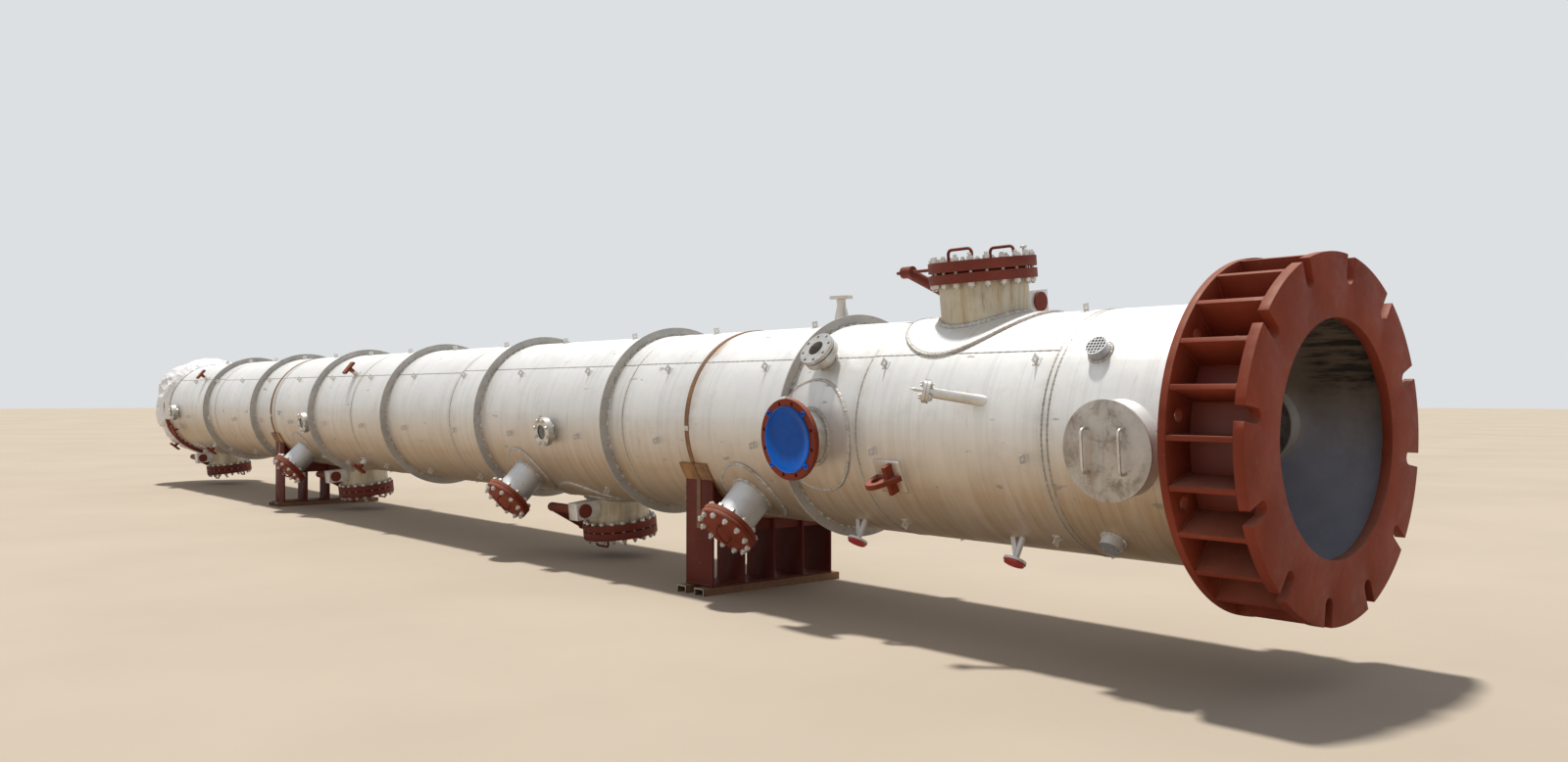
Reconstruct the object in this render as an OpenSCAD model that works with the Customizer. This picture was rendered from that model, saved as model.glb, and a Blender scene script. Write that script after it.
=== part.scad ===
// Distillation column with its skirt, nozzles and manholes, lying on two transport saddles.
// The column is drawn standing: height runs along its axis from the base plate's outer face,
// and azimuth 0 is its north side, with west at -90. It is then laid down with its foot
// towards +X and rolled a little on its saddles. The origin is on the ground, under the middle
// of its length. Lengths are millimetres.

/* [Shell] */
// Outside diameter of the shell and skirt
shell_od = 1300; // [1100:10:1500]
// Thickness of the shell plate
shell_t = 12; // [8:1:20]
// Height of the bottom tangent line above the base plate
tangent_low = 1170; // [1120:10:1250]
// Height of the top tangent line above the base plate
tangent_top = 17650; // [17500:10:18000]
// Depth of a dished head below or above its tangent line
head_depth = 325; // [280:5:360]
// Thickness of the dished heads
head_t = 14; // [10:1:20]

/* [Skirt and base ring] */
// How far the base plate and the chair ring stand out of the skirt
base_out = 200; // [170:5:250]
// How far the base plate reaches in under the skirt
base_in = 100; // [60:5:150]
// Thickness of the base plate
base_t = 50; // [30:1:70]
// Height of the chair ring's upper face above the base plate's outer face
chair_height = 400; // [300:10:480]
// Thickness of the chair ring
chair_t = 38; // [20:1:50]
// Thickness of a gusset
gusset_t = 25; // [16:1:32]
// Distance of the anchor bolts from the skirt
anchor_out = 100; // [80:5:115]
// Width of an anchor bolt's slot in the base plate
slot_w = 68; // [60:1:80]
// Diameter of an anchor bolt's hole in the chair ring
anchor_hole = 60; // [40:1:70]
// Thickness of the skirt
skirt_t = 12; // [8:1:20]

/* [Skirt fittings] */
// Height of the access openings' centre
access_height = 730; // [690:5:760]
// Outside diameter of an access opening's neck
access_od = 457; // [400:1:480]
// How far an access cover's outer face stands out of the skirt
access_out = 100; // [70:5:150]
// How far the neck of an access opening reaches in past the skirt
access_in = 80; // [60:5:120]
// Thickness of an access cover
access_cover_t = 12; // [8:1:20]
// Height of the skirt vents
vent_height = 920; // [880:5:980]
// Outside diameter of a skirt vent
vent_od = 114.3; // [88.9:0.1:141.3]
// How far a vent stands out of the skirt
vent_proud = 55; // [30:1:90]

/* [Manholes] */
// Outside diameter of a manhole's neck
manhole_od = 508; // [450:1:540]
// Diameter of a manhole's flange and cover
manhole_flange_od = 616; // [600:2:680]
// Thickness of a manhole's flange
manhole_flange_t = 54; // [40:1:62]
// Thickness of a manhole's cover
manhole_cover_t = 58; // [40:1:66]
// Gap between a manhole's flange and cover, where the gasket and the raised faces lie
manhole_gap = 12; // [6:1:18]
// How far a manhole flange's underside stands out of the shell
manhole_out = 204; // [170:2:230]
// Diameter of the stiffening pad round a manhole
manhole_pad_od = 900; // [760:10:960]
// Thickness of the stiffening pads
pad_t = 12; // [8:1:20]
// Thickness of the gasket in the other bolted joints
gasket_t = 4; // [2:0.5:8]
// Diameter of the pipe that a manhole's hinge arm is made from
davit_od = 76; // [60:1:89]

/* [Handholes] */
// Outside diameter of a handhole's neck
handhole_od = 273; // [219:1:300]
// Diameter of a handhole's flange and cover
handhole_flange_od = 406; // [380:1:440]
// Thickness of a handhole's flange and cover
handhole_flange_t = 30; // [24:1:36]
// How far a handhole cover's outer face stands out of the shell
handhole_out = 325; // [280:5:350]
// Diameter of the stiffening pad round a handhole
handhole_pad_od = 480; // [400:10:540]

/* [Feed nozzle] */
// Height of the large feed nozzle
feed_height = 2865; // [2800:5:2900]
// Outside diameter of the feed nozzle's pipe
feed_od = 323.8; // [273:0.1:340]
// Diameter of the feed nozzle's flange
feed_flange_od = 483; // [470:1:500]
// Thickness of the feed nozzle's flange
feed_flange_t = 32; // [24:1:40]
// Diameter of the circle of the feed flange's bolt holes
feed_bolt_circle = 432; // [410:1:440]
// Diameter of a bolt hole in the feed flange
feed_bolt_hole = 25.4; // [20:0.1:28]
// How far the feed flange's face stands out of the shell
feed_out = 185; // [150:5:210]
// Diameter of the stiffening pad round the feed nozzle
feed_pad_od = 650; // [560:10:680]

/* [Small nozzles] */
// Height of the level nozzle
level_height = 2850; // [2750:5:2900]
// Outside diameter of the level nozzle's and the sight glasses' pipe
level_od = 114.3; // [88.9:0.1:120]
// Diameter of their flanges
level_flange_od = 229; // [220:1:240]
// Thickness of their flanges
level_flange_t = 24; // [18:1:30]
// Diameter of the circle of their bolt holes
level_bolt_circle = 190.5; // [175:0.5:196]
// Diameter of their bolt holes
level_bolt_hole = 19; // [15:1:22]
// How far the level flange's face stands out of the shell
level_out = 135; // [110:5:170]
// How far a sight glass stands out of the shell
sight_out = 90; // [75:5:130]
// Height of the small nozzle on top
relief_height = 3250; // [3180:5:3400]
// Outside diameter of the small nozzle's pipe
relief_od = 60.3; // [48:0.1:70]
// Diameter of the small nozzle's flange
relief_flange_od = 152; // [146:1:165]
// How far the small nozzle's face stands out of the shell
relief_out = 195; // [150:5:230]
// Outside diameter of a drain nozzle's pipe
drain_od = 33.4; // [26:0.1:42]
// Diameter of a drain nozzle's flange
drain_flange_od = 124; // [108:1:130]
// How far a drain flange's face stands out of the shell
drain_out = 140; // [110:5:170]
// Angle of the probe nozzle from the radial line, towards the top
probe_tilt = 48; // [40:1:60]
// Outside diameter of the probe nozzle's pipe
probe_od = 60.3; // [42:0.1:61]
// Length of the probe nozzle from its foot on the shell
probe_length = 300; // [260:5:420]

/* [Rings and clips] */
// How far the insulation support rings stand out of the shell
ring_out = 65; // [50:1:85]
// Thickness of an insulation support ring
ring_t = 10; // [6:1:14]
// Number of insulation support rings
ring_count = 8; // [5:1:11]
// Height of the first insulation support ring
ring_first = 3090; // [3050:5:3120]
// Length of an insulation clip's two legs
clip_leg = 45; // [30:1:60]

/* [Saddles] */
// Distance of the base saddle's middle from the first handhole's
base_saddle_gap = 480; // [440:5:600]
// Distance of the top saddle's middle from the third manhole's
top_saddle_gap = 1060; // [950:10:1200]
// Height of the shell's underside above the ground
saddle_lift = 500; // [460:10:600]
// How far the column is rolled on its saddles, in degrees
column_roll = -6.5; // [-15:0.5:15]
// Width of a saddle along the column
saddle_w = 300; // [240:10:360]
// Thickness of a saddle's upright plates
saddle_plate_t = 16; // [10:1:25]
// Angle from straight down to the outermost upright plates
saddle_angle = 54; // [45:1:60]
// Thickness of the bent cradle plate under the shell
cradle_t = 12; // [8:1:20]
// Thickness of a saddle's sole plate
sole_t = 10; // [8:1:20]
// Height of the channels under the sole plate
channel_h = 50; // [40:1:75]
// Width of a channel under the sole plate
channel_w = 100; // [75:1:120]
// Width of the steel straps over the shell
strap_w = 40; // [25:1:75]
// Thickness of the steel straps
strap_t = 5; // [3:1:8]

/* [Wrapped end] */
// Thickness allowed for the crumpled plastic sheet
wrap_t = 20; // [10:1:30]
// Distance of the last insulation ring, where the sheet begins, from the top tangent line
wrap_reach = 385; // [340:5:450]

/* [Hidden] */
$fn = 96;

// Radii that many parts share
shell_r = shell_od / 2;
shell_inner_r = shell_r - shell_t;
skirt_inner_r = shell_r - skirt_t;
base_r = shell_r + base_out;
base_bore = shell_od - 2 * base_in;
anchor_circle = shell_od + 2 * anchor_out;
ring_r = shell_r + ring_out;

// Faces of the fittings, as distances from the column's axis
access_face = shell_r + access_out;
manhole_flange_r = shell_r + manhole_out;
manhole_gasket_r = manhole_flange_r + manhole_flange_t;
manhole_cover_top = manhole_gasket_r + manhole_gap + manhole_cover_t;
handhole_face = shell_r + handhole_out;
feed_face = shell_r + feed_out;
level_face = shell_r + level_out;
sight_face = shell_r + sight_out;
relief_face = shell_r + relief_out;
drain_face = shell_r + drain_out;

// The top of the overhead nozzle is the highest point of the metalwork
overhead_od = 323.8;
overhead_flange_od = 483;
overhead_flange_t = 32;
overhead_rise = 90;
overhead_top = tangent_top + head_depth + overhead_rise;
column_length = overhead_top + wrap_t;

// Azimuths of the column's sides
north = 0;
north_west = -45;
west = -90;
south_west = -135;
south = 180;

// Twelve anchor bolts, half a pitch off north, with a gusset on each side of each bolt
anchor_count = 12;
anchor_pitch = 360 / anchor_count;
anchor_start = anchor_pitch / 2;
gusset_count = 2 * anchor_count;
gusset_pitch = 360 / gusset_count;
gusset_start = gusset_pitch / 2;

// Heights of the welds between the shell courses
seams = [tangent_low, 2480, 4910, 7750, 10090, 12500, tangent_top - 2750, tangent_top];

// Heights and azimuths of what is welded to the shell
manholes = [[2000, north], [6100, south], [11560, south], [tangent_top - 770, south]];
handhole_azimuth = -128;
handholes = [[3640, handhole_azimuth], [6600, handhole_azimuth], [11900, handhole_azimuth]];
sight_ports = [[5940, west - 1], [11340, west - 3], [tangent_top - 900, west + 1]];
drain_azimuth = -143.5;
drains = [[2730, drain_azimuth], [1540, drain_azimuth]];
brackets = [[10300, north_west], [10300, south_west],
            [tangent_top - 1850, north_west], [tangent_top - 1950, south_west],
            [tangent_top - 830, west - 18],
            [tangent_top - 70, north_west], [tangent_top - 70, south_west]];
feed_azimuth = west + 2;
level_azimuth = north_west - 1;
relief_azimuth = north + 4;
probe_height = 1572;
probe_azimuth = -68.5;
lug_height = 2252;
lug_azimuth = -107;
access_azimuth = west + 2;

// Wall thicknesses of the pipes
neck_t = 10;
pipe_t = 6;
drain_t = 3.4;

// Rod handles on the covers: width between the legs, height, and diameter of the rod
manhole_handle_w = 172;
manhole_handle_rise = 76;
manhole_handle_d = 18;
handhole_handle_w = 130;
handhole_handle_rise = 60;
access_handle_rise = 55;
handle_d = 16;

// Flanges of the small nozzle, the drains and the probe
relief_flange_t = 19;
relief_bolt_circle = 120.7;
relief_bolt_hole = 19;
drain_flange_t = 14;
drain_cap_t = 12;
probe_flange_od = 127;
probe_flange_t = 16;
probe_gasket_d = 90;
probe_gap = 2;
probe_rod_d = 20;
probe_rod_length = 75;
probe_point = 30;

// Flat braces from the shell to the small nozzle and the drains
brace_t = 8;
brace_w = 32;
brace_foot = 85;

// Lug for turning the column, on its square pad
lug_pad = 200;
lug_t = 30;
lug_rib_t = 25;
lug_rib_w = 172;
lug_rib_x = -45;
lug_rib_out = 58;
lug_reach = 157;
lug_tip_r = 62;
lug_eye_w = 48;

// Brackets for the pipes down the column: leg and cross bar
bracket_w = 90;
bracket_out = 126;
bracket_leg_t = 16;
bracket_bar_w = 150;
bracket_bar_t = 14;

// Grilles of the vents and the stub for the earthing wire
grille_t = 6;
grille_bars = 5;
grille_bar_w = 4;
earthing_out = 55;
earthing_d = 50;
earthing_bore = 24;
earthing_bore_depth = 35;

// Stiffening pads on the shell: height, azimuth and diameter
pads = concat(
    [for (m = manholes) [m[0], m[1], manhole_pad_od]],
    [for (h = handholes) [h[0], h[1], handhole_pad_od]],
    [[feed_height, feed_azimuth, feed_pad_od]]
);

// The rings are spread evenly, and cut away round the pads with a little clearance
ring_clear = 8;
ring_last = tangent_top - wrap_reach;
ring_pitch = (ring_last - ring_first) / (ring_count - 1);

// Liquid outlet in the bottom head
outlet_od = 273;
outlet_flange_od = 406;
outlet_flange_t = 30;
outlet_drop = 160;

// Rows of insulation clips, left out where a fitting, ring or saddle is in their way
clip_rows = 8;
clip_row_pitch = 360 / clip_rows;
clip_start = -4;
clip_first = 1280;
clip_pitch = 1065;
clip_spots = [for (height = [clip_first:clip_pitch:ring_last], row = [0:clip_rows - 1])
              [height, clip_start + row * clip_row_pitch]];

// Hinge arms of the manholes, in a manhole's frame: x to the column's top and z outwards.
// The post lies along x in a sleeve block beside the neck, and its arm ends over the cover's rim.
davit_side = manhole_od / 2 + 124;
davit_post_r = manhole_flange_r - 145;
davit_bend = manhole_flange_od / 2 + 122;
davit_end = davit_bend + 149;
davit_boss_d = davit_od - 4;
davit_boss_length = 80;
davit_rod_d = 20;
davit_rod_in = 40;
davit_rod_proud = 50;
sleeve_length = 130;
sleeve_low = -100;
sleeve_depth = 140;
collar_d = 115;
collar_t = 12;
cover_middle_r = manhole_cover_top - manhole_cover_t / 2;

// The two saddles, by the height of their middle on the column
base_saddle_height = handholes[0][0] + base_saddle_gap;
top_saddle_height = manholes[2][0] + top_saddle_gap;
saddle_ribs = 5;
saddle_web_t = 16;
saddle_web_inset = 35;
saddle_web_h = 330;
channel_wall = 6;
channel_overhang = 85;
axis_height = shell_r + saddle_lift;
cradle_r = shell_r + cradle_t;
cradle_half_angle = saddle_angle + 12;
strap_tail = 330;
saddle_half = cradle_r * sin(saddle_angle);
saddle_pitch = 2 * saddle_half / (saddle_ribs - 1);

// What a clip must keep clear of: height, azimuth and reach
clip_obstacles = concat(
    [for (p = pads) [p[0], p[1], p[2] / 2]],
    [for (s = sight_ports) [s[0], s[1], level_flange_od / 2]],
    [for (d = drains) [d[0], d[1], drain_flange_od / 2]],
    [for (b = brackets) [b[0], b[1], bracket_w]],
    [[level_height, level_azimuth, level_flange_od / 2],
     [relief_height, relief_azimuth, relief_flange_od / 2]]
);

// Smallest angle between two azimuths
function turn_between(a, b) = abs((a - b + 540) % 360 - 180);

// Distance over the shell from a spot to the edge of an obstacle
function distance_to(spot, obstacle) =
    norm([spot[0] - obstacle[0], turn_between(spot[1] + 360, obstacle[1]) * PI / 180 * shell_r])
    - obstacle[2];

// Distance along the column from a spot to the nearer saddle's edge
function saddle_distance(spot) =
    min(abs(spot[0] - base_saddle_height), abs(spot[0] - top_saddle_height)) - saddle_w / 2;

// Distance along the column from a spot to the nearest insulation ring
function ring_distance(spot) =
    min([for (i = [0:ring_count - 1]) abs(spot[0] - ring_first - i * ring_pitch)]);

function clip_is_clear(spot) =
    min([for (o = clip_obstacles) distance_to(spot, o)]) > clip_leg
    && saddle_distance(spot) > clip_leg
    && ring_distance(spot) > clip_leg;

// Lays the standing column down on its saddles
module laid() {
    translate([column_length / 2, 0, axis_height])
        rotate([0, -90, 0])
            rotate([0, 0, column_roll])
                children();
}

// Puts children on the column's side: local z points outwards and local x to the column's top
module on_side(height, azimuth, r = 0) {
    rotate([0, 0, azimuth])
        translate([r, 0, height])
            rotate([0, 90, 0])
                rotate([0, 0, 180])
                    children();
}

// Turns children about the column's axis
module around(azimuth, height = 0) {
    rotate([0, 0, azimuth])
        translate([0, 0, height])
            children();
}

// A round tube standing on z = 0
module tube(outer_d, inner_d, length) {
    difference() {
        cylinder(h = length, d = outer_d);
        translate([0, 0, -1])
            cylinder(h = length + 2, d = inner_d);
    }
}

// A flange lying on z = 0, with its bolt holes
module flange(outer_d, inner_d, thickness, bolt_circle = 0, holes = 0, hole_d = 0) {
    difference() {
        cylinder(h = thickness, d = outer_d);
        translate([0, 0, -1])
            cylinder(h = thickness + 2, d = inner_d);
        if (holes > 0)
            for (i = [0:holes - 1])
                rotate([0, 0, (i + 0.5) * 360 / holes])
                    translate([bolt_circle / 2, 0, -1])
                        cylinder(h = thickness + 2, d = hole_d, $fn = 32);
    }
}

// A solid bar on the column's axis, used to trim what sits on the shell
module core(r, height, half_length) {
    translate([0, 0, height - half_length])
        cylinder(h = 2 * half_length, r = r, $fn = 180);
}

// A pipe neck that ends on the shell's surface, with an optional stiffening pad
module neck(height, azimuth, outer_d, wall, top_r, pad_od = 0) {
    reach = max(outer_d, pad_od);
    difference() {
        union() {
            on_side(height, azimuth)
                cylinder(h = top_r, d = outer_d);
            if (pad_od > 0)
                intersection() {
                    on_side(height, azimuth)
                        cylinder(h = shell_r + pad_t + 5, d = pad_od);
                    core(shell_r + pad_t, height, reach);
                }
        }
        core(shell_r, height, reach);
        on_side(height, azimuth)
            cylinder(h = top_r + 1, d = outer_d - 2 * wall);
    }
}

// A rod bent to a loop that stands on z = 0, with its bar along x
module rod_loop(span, rise, rod_d) {
    bend = 1.5 * rod_d;
    axis_rise = rise - rod_d / 2;
    for (side = [-1, 1])
        translate([side * span / 2, 0, 0]) {
            cylinder(h = axis_rise - bend, d = rod_d, $fn = 24);
            translate([-side * bend, 0, axis_rise - bend])
                rotate([90, 0, 0])
                    rotate([0, 0, side > 0 ? 0 : 90])
                        rotate_extrude(angle = 90, $fn = 48)
                            translate([bend, 0])
                                circle(d = rod_d, $fn = 24);
        }
    translate([-span / 2 + bend, 0, axis_rise])
        rotate([0, 90, 0])
            cylinder(h = span - 2 * bend, d = rod_d, $fn = 24);
}

// Foot of the skirt: the base plate with its open anchor slots
module base_plate() {
    color([0.60, 0.25, 0.20])
        laid()
            difference() {
                cylinder(h = base_t, r = base_r, $fn = 180);
                translate([0, 0, -1])
                    cylinder(h = base_t + 2, d = base_bore, $fn = 180);
                for (i = [0:anchor_count - 1])
                    around(anchor_start + i * anchor_pitch)
                        anchor_slot();
            }
}

// One slot, round at its inner end and open at the plate's rim
module anchor_slot() {
    translate([anchor_circle / 2, 0, -1])
        cylinder(h = base_t + 2, d = slot_w, $fn = 48);
    translate([anchor_circle / 2, -slot_w / 2, -1])
        cube([base_r - anchor_circle / 2 + slot_w, slot_w, base_t + 2]);
}

// Ring on top of the gussets, drilled for the anchor bolts
module chair_ring() {
    color([0.60, 0.25, 0.20])
        laid()
            translate([0, 0, chair_height - chair_t])
                difference() {
                    cylinder(h = chair_t, r = base_r, $fn = 180);
                    translate([0, 0, -1])
                        cylinder(h = chair_t + 2, r = shell_r, $fn = 180);
                    for (i = [0:anchor_count - 1])
                        around(anchor_start + i * anchor_pitch)
                            translate([anchor_circle / 2, 0, -1])
                                cylinder(h = chair_t + 2, d = anchor_hole, $fn = 48);
                }
}

// Gussets between the base plate and the chair ring
module chair_gussets() {
    color([0.60, 0.25, 0.20])
        laid()
            difference() {
                for (i = [0:gusset_count - 1])
                    around(gusset_start + i * gusset_pitch, base_t)
                        translate([shell_r - 5, -gusset_t / 2, 0])
                            cube([base_r - shell_r + 3, gusset_t, chair_height - chair_t - base_t]);
                core(shell_r, chair_height / 2, chair_height);
            }
}

// Stub for the earthing wire, on the skirt between two gussets
module earthing_boss() {
    color([0.75, 0.75, 0.75])
        laid()
            difference() {
                on_side(chair_height / 2, north_west)
                    cylinder(h = shell_r + earthing_out, d = earthing_d, $fn = 32);
                core(shell_r, chair_height / 2, earthing_d);
                on_side(chair_height / 2, north_west, shell_r + earthing_out - earthing_bore_depth)
                    cylinder(h = earthing_bore_depth + 1, d = earthing_bore, $fn = 32);
            }
}

// A radial hole through the shell or skirt
module wall_hole(height, azimuth, d) {
    on_side(height, azimuth, shell_r / 2)
        cylinder(h = shell_r, d = d);
}

// Holes that the access openings and the vents make in the skirt
module skirt_holes() {
    for (azimuth = [access_azimuth, access_azimuth + 180])
        wall_hole(access_height, azimuth, access_od);
    for (azimuth = [north_west, south_west, north_west + 180, south_west + 180])
        wall_hole(vent_height, azimuth, vent_od - 2 * pipe_t);
}

// Cylindrical skirt from the base plate up to the bottom tangent line
module skirt() {
    color([0.78, 0.77, 0.75])
        laid()
            difference() {
                translate([0, 0, base_t])
                    cylinder(h = tangent_low - base_t, r = shell_r, $fn = 180);
                translate([0, 0, base_t - 1])
                    cylinder(h = tangent_low - base_t + 2, r = skirt_inner_r, $fn = 180);
                skirt_holes();
            }
}

// Four short vents with a square grille across their mouths
module skirt_vents() {
    color([0.70, 0.70, 0.70])
        laid()
            for (azimuth = [north_west, south_west, north_west + 180, south_west + 180]) {
                neck(vent_height, azimuth, vent_od, pipe_t, shell_r + vent_proud);
                on_side(vent_height, azimuth, shell_r + vent_proud - grille_t)
                    linear_extrude(height = grille_t)
                        grille_outline();
            }
}

// Bars of a vent's grille, both ways across the mouth
module grille_outline() {
    mouth = vent_od - pipe_t;
    pitch = mouth / (grille_bars + 1);
    intersection() {
        circle(d = mouth);
        for (i = [1:grille_bars], turn = [0, 90])
            rotate(turn)
                translate([-mouth / 2, -mouth / 2 + i * pitch - grille_bar_w / 2])
                    square([mouth, grille_bar_w]);
    }
}

// Sleeve of an access opening, set through the skirt
module access_neck(azimuth) {
    low = skirt_inner_r - access_in;
    high = access_face - access_cover_t - gasket_t;
    color([0.76, 0.75, 0.73])
        laid()
            on_side(access_height, azimuth, low)
                tube(access_od, access_od - 2 * neck_t, high - low);
}

module access_neck_front() access_neck(access_azimuth);
module access_neck_back() access_neck(access_azimuth + 180);

// Plate cover of an access opening
module access_cover(azimuth) {
    color([0.80, 0.79, 0.77])
        laid()
            on_side(access_height, azimuth, access_face - access_cover_t - gasket_t)
                union() {
                    cylinder(h = gasket_t, d = access_od - neck_t);
                    translate([0, 0, gasket_t])
                        cylinder(h = access_cover_t, d = access_od + 2 * neck_t);
                }
}

module access_cover_front() access_cover(access_azimuth);
module access_cover_back() access_cover(access_azimuth + 180);

// Two rod handles on each access cover
module access_handles() {
    color([0.55, 0.42, 0.33])
        laid()
            for (azimuth = [access_azimuth, access_azimuth + 180], side = [-1, 1])
                on_side(access_height, azimuth, access_face)
                    translate([side * access_od * 0.22, 0, 0])
                        rotate([0, 0, 90])
                            rod_loop(access_od * 0.45, access_handle_rise, handle_d);
}

// Points of a quarter ellipse from its flank to its crown
function quarter_ellipse(a, b, steps = 24) =
    [for (i = [0:steps]) [a * cos(90 * i / steps), b * sin(90 * i / steps)]];

// Dished head with its rim on z = 0
module dished_head(outer_r, depth, wall) {
    rotate_extrude($fn = 180)
        difference() {
            polygon(concat([[0, 0]], quarter_ellipse(outer_r, depth)));
            polygon(concat([[0, -1], [outer_r - wall, -1]],
                           quarter_ellipse(outer_r - wall, depth - wall)));
        }
}

// Bottom head, hidden inside the skirt
module bottom_head() {
    color([0.72, 0.71, 0.69])
        laid()
            translate([0, 0, tangent_low])
                mirror([0, 0, 1])
                    difference() {
                        dished_head(skirt_inner_r - 0.3, head_depth, head_t);
                        cylinder(h = 2 * head_depth, d = outlet_od - 2 * pipe_t);
                    }
}

// Liquid outlet in the middle of the bottom head
module bottom_outlet() {
    color([0.70, 0.69, 0.67])
        laid()
            translate([0, 0, tangent_low - head_depth - outlet_drop]) {
                flange(outlet_flange_od, outlet_od - 2 * pipe_t, outlet_flange_t);
                translate([0, 0, outlet_flange_t])
                    difference() {
                        tube(outlet_od, outlet_od - 2 * pipe_t, outlet_drop);
                        translate([0, 0, outlet_drop + head_depth - outlet_flange_t])
                            mirror([0, 0, 1])
                                head_body(skirt_inner_r - 0.3);
                    }
            }
}

// Solid body of a head, used to trim the nozzle that stands on it
module head_body(outer_r) {
    rotate_extrude($fn = 180)
        polygon(concat([[0, 0]], quarter_ellipse(outer_r, head_depth)));
}

// Every hole in the shell: height, azimuth and diameter
shell_openings = concat(
    [for (m = manholes) [m[0], m[1], manhole_od - 2 * neck_t]],
    [for (h = handholes) [h[0], h[1], handhole_od - 2 * neck_t]],
    [for (s = sight_ports) [s[0], s[1], level_od - 2 * pipe_t]],
    [[feed_height, feed_azimuth, feed_od - 2 * neck_t],
     [level_height, level_azimuth, level_od - 2 * pipe_t],
     [relief_height, relief_azimuth, relief_od - 2 * pipe_t]]
);

// Holes that the nozzles and manholes make in the shell between two heights
module shell_holes(low, high) {
    for (o = shell_openings)
        if (o[0] > low && o[0] < high)
            wall_hole(o[0], o[1], o[2]);
}

// One rolled course of the shell, between two girth welds
module shell_course(number) {
    low = seams[number - 1];
    high = seams[number];
    color([0.80, 0.79, 0.77])
        laid()
            difference() {
                translate([0, 0, low])
                    cylinder(h = high - low, r = shell_r, $fn = 180);
                translate([0, 0, low - 1])
                    cylinder(h = high - low + 2, r = shell_inner_r, $fn = 180);
                shell_holes(low, high);
            }
}

module shell_course_1() shell_course(1);
module shell_course_2() shell_course(2);
module shell_course_3() shell_course(3);
module shell_course_4() shell_course(4);
module shell_course_5() shell_course(5);
module shell_course_6() shell_course(6);
module shell_course_7() shell_course(7);

// Top head, with the hole for the overhead nozzle
module top_head() {
    color([0.80, 0.79, 0.77])
        laid()
            translate([0, 0, tangent_top])
                difference() {
                    dished_head(shell_r, head_depth, head_t);
                    cylinder(h = 2 * head_depth, d = overhead_od - 2 * neck_t);
                }
}

// Overhead vapour nozzle in the middle of the top head
module top_nozzle() {
    color([0.72, 0.71, 0.69])
        laid()
            difference() {
                union() {
                    translate([0, 0, tangent_top + head_depth / 2])
                        cylinder(h = overhead_top - tangent_top - head_depth / 2, d = overhead_od);
                    translate([0, 0, overhead_top - overhead_flange_t])
                        cylinder(h = overhead_flange_t, d = overhead_flange_od);
                }
                translate([0, 0, tangent_top]) {
                    head_body(shell_r);
                    cylinder(h = 2 * head_depth + overhead_rise, d = overhead_od - 2 * neck_t);
                }
            }
}

// Flat rings that carry the insulation, cut away round the pads that they meet
module insulation_rings() {
    color([0.62, 0.62, 0.61])
        laid()
            difference() {
                for (i = [0:ring_count - 1])
                    translate([0, 0, ring_first + i * ring_pitch - ring_t / 2])
                        cylinder(h = ring_t, r = ring_r, $fn = 180);
                core(shell_r, tangent_top / 2, tangent_top / 2);
                for (p = pads)
                    on_side(p[0], p[1])
                        cylinder(h = 2 * ring_r, d = p[2] + 2 * ring_clear);
            }
}

// Small angle clips in rows between the rings
module insulation_clips() {
    color([0.74, 0.73, 0.72])
        laid()
            difference() {
                for (spot = clip_spots)
                    if (clip_is_clear(spot))
                        on_side(spot[0], spot[1], shell_r - 2)
                            clip();
                core(shell_r, tangent_top / 2, tangent_top / 2);
            }
}

// One clip: an angle with one leg flat on the shell and one standing out
module clip() {
    translate([-clip_leg / 2, -clip_leg / 2, 0])
        cube([clip_leg, clip_leg, 5]);
    translate([-2, -clip_leg / 2, 0])
        cube([4, clip_leg, clip_leg]);
}

// Neck, pad and flange of a manhole
module manhole_neck(place) {
    color([0.66, 0.62, 0.58])
        laid()
            union() {
                neck(place[0], place[1], manhole_od, neck_t,
                     manhole_flange_r + manhole_flange_t, manhole_pad_od);
                on_side(place[0], place[1], manhole_flange_r)
                    flange(manhole_flange_od, manhole_od - 2 * neck_t, manhole_flange_t);
            }
}

module manhole_neck_1() manhole_neck(manholes[0]);
module manhole_neck_2() manhole_neck(manholes[1]);
module manhole_neck_3() manhole_neck(manholes[2]);
module manhole_neck_4() manhole_neck(manholes[3]);

// Cover of a manhole, on its gasket
module manhole_cover(place) {
    color([0.50, 0.20, 0.17])
        laid()
            difference() {
                on_side(place[0], place[1], manhole_gasket_r) {
                    cylinder(h = manhole_gap, d = manhole_od + 2 * neck_t);
                    translate([0, 0, manhole_gap])
                        cylinder(h = manhole_cover_t, d = manhole_flange_od);
                }
                on_side(place[0], place[1])
                    davit_rod();
            }
}

module manhole_cover_1() manhole_cover(manholes[0]);
module manhole_cover_2() manhole_cover(manholes[1]);
module manhole_cover_3() manhole_cover(manholes[2]);
module manhole_cover_4() manhole_cover(manholes[3]);

// Two rod handles on each manhole cover, side by side across the column
module manhole_handles() {
    color([0.50, 0.20, 0.17])
        laid()
            for (m = manholes, side = [-1, 1])
                on_side(m[0], m[1], manhole_cover_top)
                    translate([0, side * manhole_flange_od * 0.3, 0])
                        rod_loop(manhole_handle_w, manhole_handle_rise, manhole_handle_d);
}

// A round bar between two points
module bar(from, to, d) {
    run = to - from;
    translate(from)
        rotate([0, acos(run[2] / norm(run)), atan2(run[1], run[0])])
            cylinder(h = norm(run), d = d, $fn = 48);
}

// The rod that joins a hinge arm to the rim of its cover
module davit_rod() {
    bar([manhole_flange_od / 2 - davit_rod_in, 0, cover_middle_r],
        [davit_end + davit_boss_length / 2 + davit_rod_proud, 0, cover_middle_r], davit_rod_d);
}

// Hinge arms that carry the covers when they swing open
module manhole_davits() {
    color([0.55, 0.24, 0.19])
        laid()
            for (m = manholes)
                on_side(m[0], m[1])
                    davit();
}

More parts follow.
